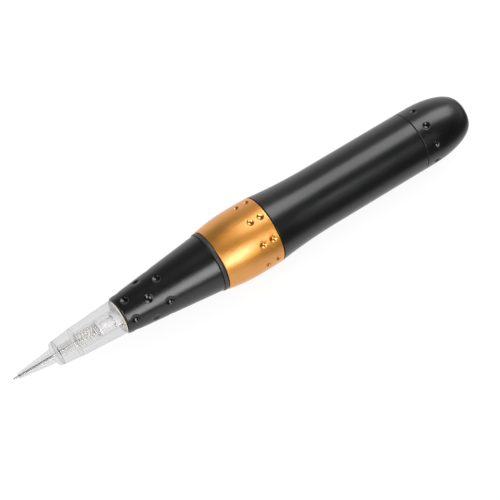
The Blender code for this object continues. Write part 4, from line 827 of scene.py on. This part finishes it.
moulded = grained(
    "black_moulding", {"IOR": 1.5}, 4600, 3, (0.012, 0.012, 0.013), (0.035, 0.035, 0.037),
    roughness=0.38, spread=0.2, depth=0.000008,
)
machined(aluminium, "aluminium", "handpiece", "motor_plate")
machined(can, "plated_can", "handpiece", "motor_can", edge=0.0002)
machined(polished_steel, "steel", "handpiece", "motor_screw_left", "motor_screw_right")
machined(polished_steel, "steel", "rotor", "motor_shaft")
machined(ferrite, "ferrite", "handpiece", "magnet_upper", "magnet_lower", edge=0.00015)
machined(bronze, "bronze", "handpiece", "front_bearing", "rear_bearing")
machined(iron, "core_iron", "rotor", "armature_core", edge=0.00003)
COMMUTATOR_RADIUS, SHAFT_BORE, SLOT_HALF, SLOT_DEPTH = 0.0017, 0.00105, 0.00013, 0.0004
RISER_LENGTH, RISER_HEIGHT = 0.0004, 0.00008
commutator_x, commutator_end = (corner.x - TIP_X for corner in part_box("commutator"))
riser_end = commutator_x + RISER_LENGTH


def slotted(along, radius, angle):
    """The commutator's radius with the slots between its three segments."""
    away = (angle + pi / 3) % (2 * pi / 3) - pi / 3
    outside = radius > COMMUTATOR_RADIUS - SLOT_DEPTH / 2
    return COMMUTATOR_RADIUS - SLOT_DEPTH if outside and abs(away) * radius < SLOT_HALF else radius


fit(turned("commutator_segments", [
    *span(commutator_x, riser_end, COMMUTATOR_RADIUS),
    *span(riser_end, commutator_end, COMMUTATOR_RADIUS - RISER_HEIGHT),
], span(commutator_x, commutator_end, SHAFT_BORE), sides=216, ease=0.00003, trim=slotted),
    copper.material, "copper", "rotor", "commutator")


def squarish(value):
    """A sine or cosine pushed outward, so that a round path becomes a squarish one."""
    return value.math("SIGN", value) * value.math("POWER", value.math("ABSOLUTE", value), 0.25)


coil_rule, bundle, close = new_tree("wound_coil", {
    "Middle": 0.0, "Length": 0.007, "Half": 0.0013, "Depth": 0.003, "Wire": 0.0002, "Layers": 4.0,
    "Turns": 4.0, "Pole Angle": 0.0, "Axis Height": 0.01, "Steps": 500, "Finish": None,
})
line = straight_line(bundle["Steps"])
layer = line.node("GeometryNodeSplineParameter") * (bundle["Layers"] - 0.001)
whole = layer.math("FLOOR", layer)
across = layer.math("PINGPONG", layer, 1.0) - 0.5
turn = layer * bundle["Turns"] * (2 * pi)
cosine, sine = turn.math("COSINE", turn), turn.math("SINE", turn)
along = squarish(cosine) * (bundle["Length"] + whole * bundle["Wire"])
aside = squarish(sine) * (bundle["Half"] + whole * bundle["Wire"])
out = bundle["Depth"] + across * (bundle["Turns"] - 1) * bundle["Wire"]
cosine, sine = out.math("COSINE", bundle["Pole Angle"]), out.math("SINE", bundle["Pole Angle"])
spot = out.node("ShaderNodeCombineXYZ", values={
    0: bundle["Middle"] + along, 1: out * sine + aside * cosine,
    2: bundle["Axis Height"] - out * cosine + aside * sine,
})
close(bent_wire(line, spot, bundle["Wire"], 8))

COIL_WIRE, CORE_ARM, CORE_HUB, CORE_SHOE = 0.00022, 0.0018, 0.0019, 0.0008
core_low, core_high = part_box("armature_core")
coil_room = GAP + COIL_WIRE / 2
for pole in range(3):
    wound = grow(blank(f"wound_coil_{pole + 1}"), coil_rule, {
        "Middle": (core_low.x + core_high.x) / 2, "Length": (core_high.x - core_low.x) / 2 + coil_room,
        "Half": CORE_ARM / 2 + coil_room, "Depth": (CORE_HUB + AXIS_Z - core_low.z - CORE_SHOE) / 2,
        "Wire": COIL_WIRE, "Layers": 4.0, "Turns": 4.0, "Pole Angle": 2 * pi * pole / 3,
        "Axis Height": AXIS_Z, "Steps": 560, "Finish": copper.material,
    })
    fit(wound, copper.material, "copper", "rotor", f"winding_{pole + 1}")
machined(moulded, "black_plastic", "handpiece", "motor_end_cap")
machined(brass, "brass", "handpiece", "terminal_left", "terminal_right")
machined(copper.material, "copper", "handpiece", "brush_left", "brush_right")

# Barrel: turned aluminium tube, blasted and anodised black, flared towards the depth ring and
# straight to the seam. Its front spigot carries the ring.
CAP_SPIGOT_LENGTH, SEAM_CHAMFER = 0.0044, 0.00014
BARREL_X, BARREL_END = ring_end + GAP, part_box("rear_cap")[0].x + CAP_SPIGOT_LENGTH - TIP_X
BARREL_RADIUS, BARREL_FRONT, BARREL_BORE = 0.0090, 0.0101, 0.0080
FLARE_LENGTH, FLARE_POWER, FLARE_STEPS = 0.0200, 2.2, 40
SPIGOT_RADIUS, CLIP_FLOOR, THROAT_END = 0.0083, 0.0076, 0.0860
groove_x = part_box("snap_ring")[0].x - TIP_X - GAP
flare = [
    (BARREL_X + FLARE_LENGTH * i / FLARE_STEPS,
     BARREL_RADIUS + (BARREL_FRONT - BARREL_RADIUS) * (1 - i / FLARE_STEPS) ** FLARE_POWER)
    for i in range(FLARE_STEPS + 1)
]
barrel = turned("barrel_tube", [
    *span(SPIGOT_X, groove_x, SPIGOT_RADIUS), *span(groove_x, clip_back, CLIP_FLOOR),
    *span(clip_back, BARREL_X, SPIGOT_RADIUS), *flare,
    (BARREL_END - SEAM_CHAMFER, BARREL_RADIUS), (BARREL_END, BARREL_RADIUS - SEAM_CHAMFER),
], span(SPIGOT_X, THROAT_END, NECK_SLIDE) + span(THROAT_END, BARREL_END, BARREL_BORE), sides=288, ease=0.0001)
fit(barrel, black.material, "black_anodised", "handpiece", "barrel")

# Rear cap: turned from bar with a spigot that screws into the barrel, a long dome, one row of
# dimples and the hole for the power plug. Its rubber seal sits in the spigot.
CAP_X, CAP_STRAIGHT, CAP_ROW, CAP_DOME, CAP_FLAT = BARREL_END + GAP, 0.0034, 0.0030, 0.0145, 0.0036
CAP_SPIGOT, CAP_SPIGOT_BORE, JACK_BORE, PLUG_HOLE = 0.0077, 0.0061, 0.0046, 0.0020
CAP_PITCH, CAP_THREAD, SEAM_OVERLAP, SEAL_WIRE, DOME_STEPS = 0.0005, 0.00014, 0.0002, 0.0009, 60
spigot_x, pen_end = (corner.x - TIP_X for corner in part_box("rear_cap"))
jack_x, jack_end = (corner.x - TIP_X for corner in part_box("jack_body"))
seam_x, row_x, dome_x = CAP_X - SEAM_OVERLAP, CAP_X + CAP_ROW, CAP_X + CAP_STRAIGHT
DOME_HALF = BARREL_RADIUS - CAP_FLAT
cap_places = stations(seam_x, dome_x, [row_x], half=0.0014, step=0.0001, rest=0.00014)


def dome_radius(place):
    """Outside radius of the cap behind its straight part."""
    share = max(0.0, (place - dome_x) / CAP_DOME)
    return CAP_FLAT + DOME_HALF * sqrt(max(0.0, 1 - share * share))


dome = [(seam_x, BARREL_RADIUS - SEAM_CHAMFER), *[(place, BARREL_RADIUS) for place in cap_places[1:-1]]]
dome_places = [dome_x + CAP_DOME * sin(i * pi / 2 / DOME_STEPS) for i in range(DOME_STEPS + 1)]
dome += [(place, dome_radius(place)) for place in dome_places]
seal_front, seal_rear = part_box("cap_seal")[0].x - TIP_X - GAP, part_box("cap_seal")[1].x - TIP_X + GAP
cap_cut = thread(spigot_x + THREAD_STEP, CAP_X - 2 * SEAM_OVERLAP, CAP_SPIGOT, CAP_PITCH, CAP_THREAD)
cap = turned("rear_cap_shell", [
    *rows(spigot_x, seal_front, THREAD_STEP, CAP_SPIGOT),
    *span(seal_front, seal_rear, CAP_SPIGOT - SEAL_WIRE - GAP),
    *rows(seal_rear, seam_x, THREAD_STEP, CAP_SPIGOT), *dome,
], [
    *span(spigot_x, jack_x - GAP, CAP_SPIGOT_BORE), *span(jack_x - GAP, jack_end + GAP, JACK_BORE),
    *span(jack_end + GAP, pen_end, PLUG_HOLE),
], sides=432, ease=0.00012, trim=cap_cut)
grow(cap, dimple_rule, {
    "Place": TIP_X + row_x, "First Angle": FACING - radians(10.2), "Count": 9,
    "Dimple Radius": 0.00105, "Depth": 0.00045, "Rim": 0.00011, "Inner Radius": 0.0079,
    "Axis Height": AXIS_Z, "Finish": black.material,
})
fit(cap, black.material, "black_anodised", "handpiece", "rear_cap")
machined(rubber, "black_rubber", "handpiece", "cap_seal", crease=80)

# Power jack: a black moulded body with a nickel sleeve for the plug, two contacts, and the red and
# black wires that join it to the motor.
red = grained(
    "red_insulation", {"IOR": 1.5}, 1500, 3, (0.50, 0.02, 0.02), (0.68, 0.05, 0.04),
    roughness=0.4, spread=0.2, depth=0.00001,
)
PIN_RADIUS, PIN_TIP = 0.00068, 0.00030
machined(red, "red_wire", "handpiece", "wire_right")
machined(moulded, "black_wire", "handpiece", "wire_left")
machined(moulded, "black_plastic", "handpiece", "jack_body")
machined(can, "steel", "handpiece", "jack_sleeve")
machined(brass, "brass", "handpiece", "jack_contact_left", "jack_contact_right")
fit(turned("jack_pin", [
    (jack_x + 0.0003, PIN_RADIUS), (jack_end - 0.0014, PIN_RADIUS), (jack_end - 0.0009, PIN_TIP),
], sides=48, ease=0.0002), polished_steel, "steel", "handpiece")

# Studio: a plain white floor, a plain room, three large soft lamps, and the camera above the pen's
# side. Floor and room are darker in places, but only in what the pen mirrors; the floor's dark patch
# in front of the barrel is painted shade of the pen on the floor.
FLOOR_SEEN, FLOOR_MIRRORED, ROOM_LEVEL, LAMP_WATTS = 0.88, 0.09, 0.55, 4
DOME_PLACE, CAMERA_DISTANCE, CAMERA_WAY = 0.065, 0.5035, (-0.283, -0.409, 0.868)


def light_paths(tree):
    """The rays that come from the camera, off a shiny surface and through a clear one."""
    rays = Socket(tree, tree.nodes.new("ShaderNodeLightPath").outputs["Is Camera Ray"])
    return rays, rays.other("Is Glossy Ray"), rays.other("Is Transmission Ray")


def ease(value, low, high, start, end):
    """A smooth step of a value, from start at low to end at high."""
    return value.node("ShaderNodeMapRange", {"interpolation_type": "SMOOTHSTEP"}, {
        "Value": value, "From Min": low, "From Max": high, "To Min": start, "To Max": end,
    })


stage_mesh = bpy.data.meshes.new("floor")
stage_mesh.from_pydata([(-3, -3, 0), (3, -3, 0), (3, 3, 0), (-3, 3, 0)], [], [(0, 1, 2, 3)])
floor = bpy.data.objects.new("floor", stage_mesh)
bpy.context.scene.collection.objects.link(floor)
paint = bpy.data.materials.new("floor_paint")
paint.use_nodes = True
tree = paint.node_tree
tree.nodes.clear()
rays, glossy, through = light_paths(tree)
seen = rays.math("MAXIMUM", rays.math("MAXIMUM", rays, glossy), through)
spot = rays.node("ShaderNodeSeparateXYZ", values={0: rays.node("ShaderNodeTexCoord", out="Object")})
# Painted shade: in what the pen mirrors, the floor darkens in front of the barrel. This is painted shade of the
# pen near it, fading into a dark studio farther off.
past = spot.math("MAXIMUM", spot - DOME_PLACE, 0.0)
front = ease(spot.other("Y") - past, -0.015, -0.055, 0.0, 1.0)
shade_across = ease(spot, -0.005, 0.04, 0.0, 0.95)
glow_under_painted_shade = 1 - glossy * (0.05 + 0.95 * front * shade_across)
matt = rays.node("ShaderNodeBsdfDiffuse", values={"Color": (0.92, 0.92, 0.92, 1)})
lit = rays.node("ShaderNodeEmission", values={"Color": (1, 1, 1, 1), "Strength": glow_under_painted_shade})
both = rays.node("ShaderNodeMixShader", values={
    0: seen * FLOOR_SEEN + glossy * FLOOR_MIRRORED, 1: matt, 2: lit,
})
tree.links.new(both.socket, tree.nodes.new("ShaderNodeOutputMaterial").inputs[0])
stage_mesh.materials.append(paint)

world = bpy.data.worlds.new("room")
bpy.context.scene.world = world
world.use_nodes = True
tree = world.node_tree
tree.nodes.clear()
rays, glossy, through = light_paths(tree)
across = rays.node("ShaderNodeSeparateXYZ", values={0: rays.node("ShaderNodeTexCoord", out="Generated")})
depth, height = across.other("Y"), across.other("Z")
behind = ease(height, 0.0, 0.42, 1.0, 0.0)
behind = behind + (1 - behind) * ease(across, -0.1, 0.35, 0.12, 0.45)
ahead = ease(depth, -0.75, 0.15, 0.02, 1.0)
above = ease(height, 0.55, 0.9, 0.0, 1.0)
wall = behind * ahead * (1 - above) + 0.04 * above
wall = wall + (1 - wall) * ease(across, -0.6, -0.85, 0.0, 0.7)
level = ROOM_LEVEL + glossy * (wall - ROOM_LEVEL)
level = level + rays.math("MAXIMUM", rays, through) * (1 - level)
room = rays.node("ShaderNodeBackground", values={"Color": (1, 1, 1, 1), "Strength": level})
tree.links.new(room.socket, tree.nodes.new("ShaderNodeOutputWorld").inputs[0])


def lamp(name, place, size, level, along):
    """A soft rectangular lamp that looks at the pen's middle, its first side along a direction."""
    light = bpy.data.lights.new(name, "AREA")
    light.shape = "RECTANGLE"
    light.size, light.size_y = size
    light.energy = level * LAMP_WATTS * size[0] * size[1]
    item = bpy.data.objects.new(name, light)
    bpy.context.scene.collection.objects.link(item)
    item.location = place
    back = Vector(place).normalized()
    side = (Vector(along) - Vector(along).dot(back) * back).normalized()
    item.rotation_euler = Matrix((side, back.cross(side), back)).transposed().to_euler()


lamp("overhead_lamp", (0.62, 0.21, 0.84), (0.84, 0.64), 3.3, (1, 0, 0))
lamp("front_lamp", (0.03, -0.78, 0.532), (0.58, 0.32), 6.1, (0.35, 0, 1))
lamp("side_lamp", (-0.63, -0.31, 0.71), (0.50, 0.34), 5.5, (0, 1, 0))

camera = bpy.data.cameras.new("camera")
camera.lens = 130
camera.sensor_width = 36
camera_object = bpy.data.objects.new("camera", camera)
bpy.context.scene.collection.objects.link(camera_object)
look_at = Vector((-0.0004, -0.00262, 0.00902))
look_from = look_at + CAMERA_DISTANCE * Vector(CAMERA_WAY)
camera_object.location = look_from
camera_object.rotation_euler = (look_from - look_at).to_track_quat("Z", "Y").to_euler()
bpy.context.scene.camera = camera_object
bpy.context.scene.view_settings.view_transform = "Standard"
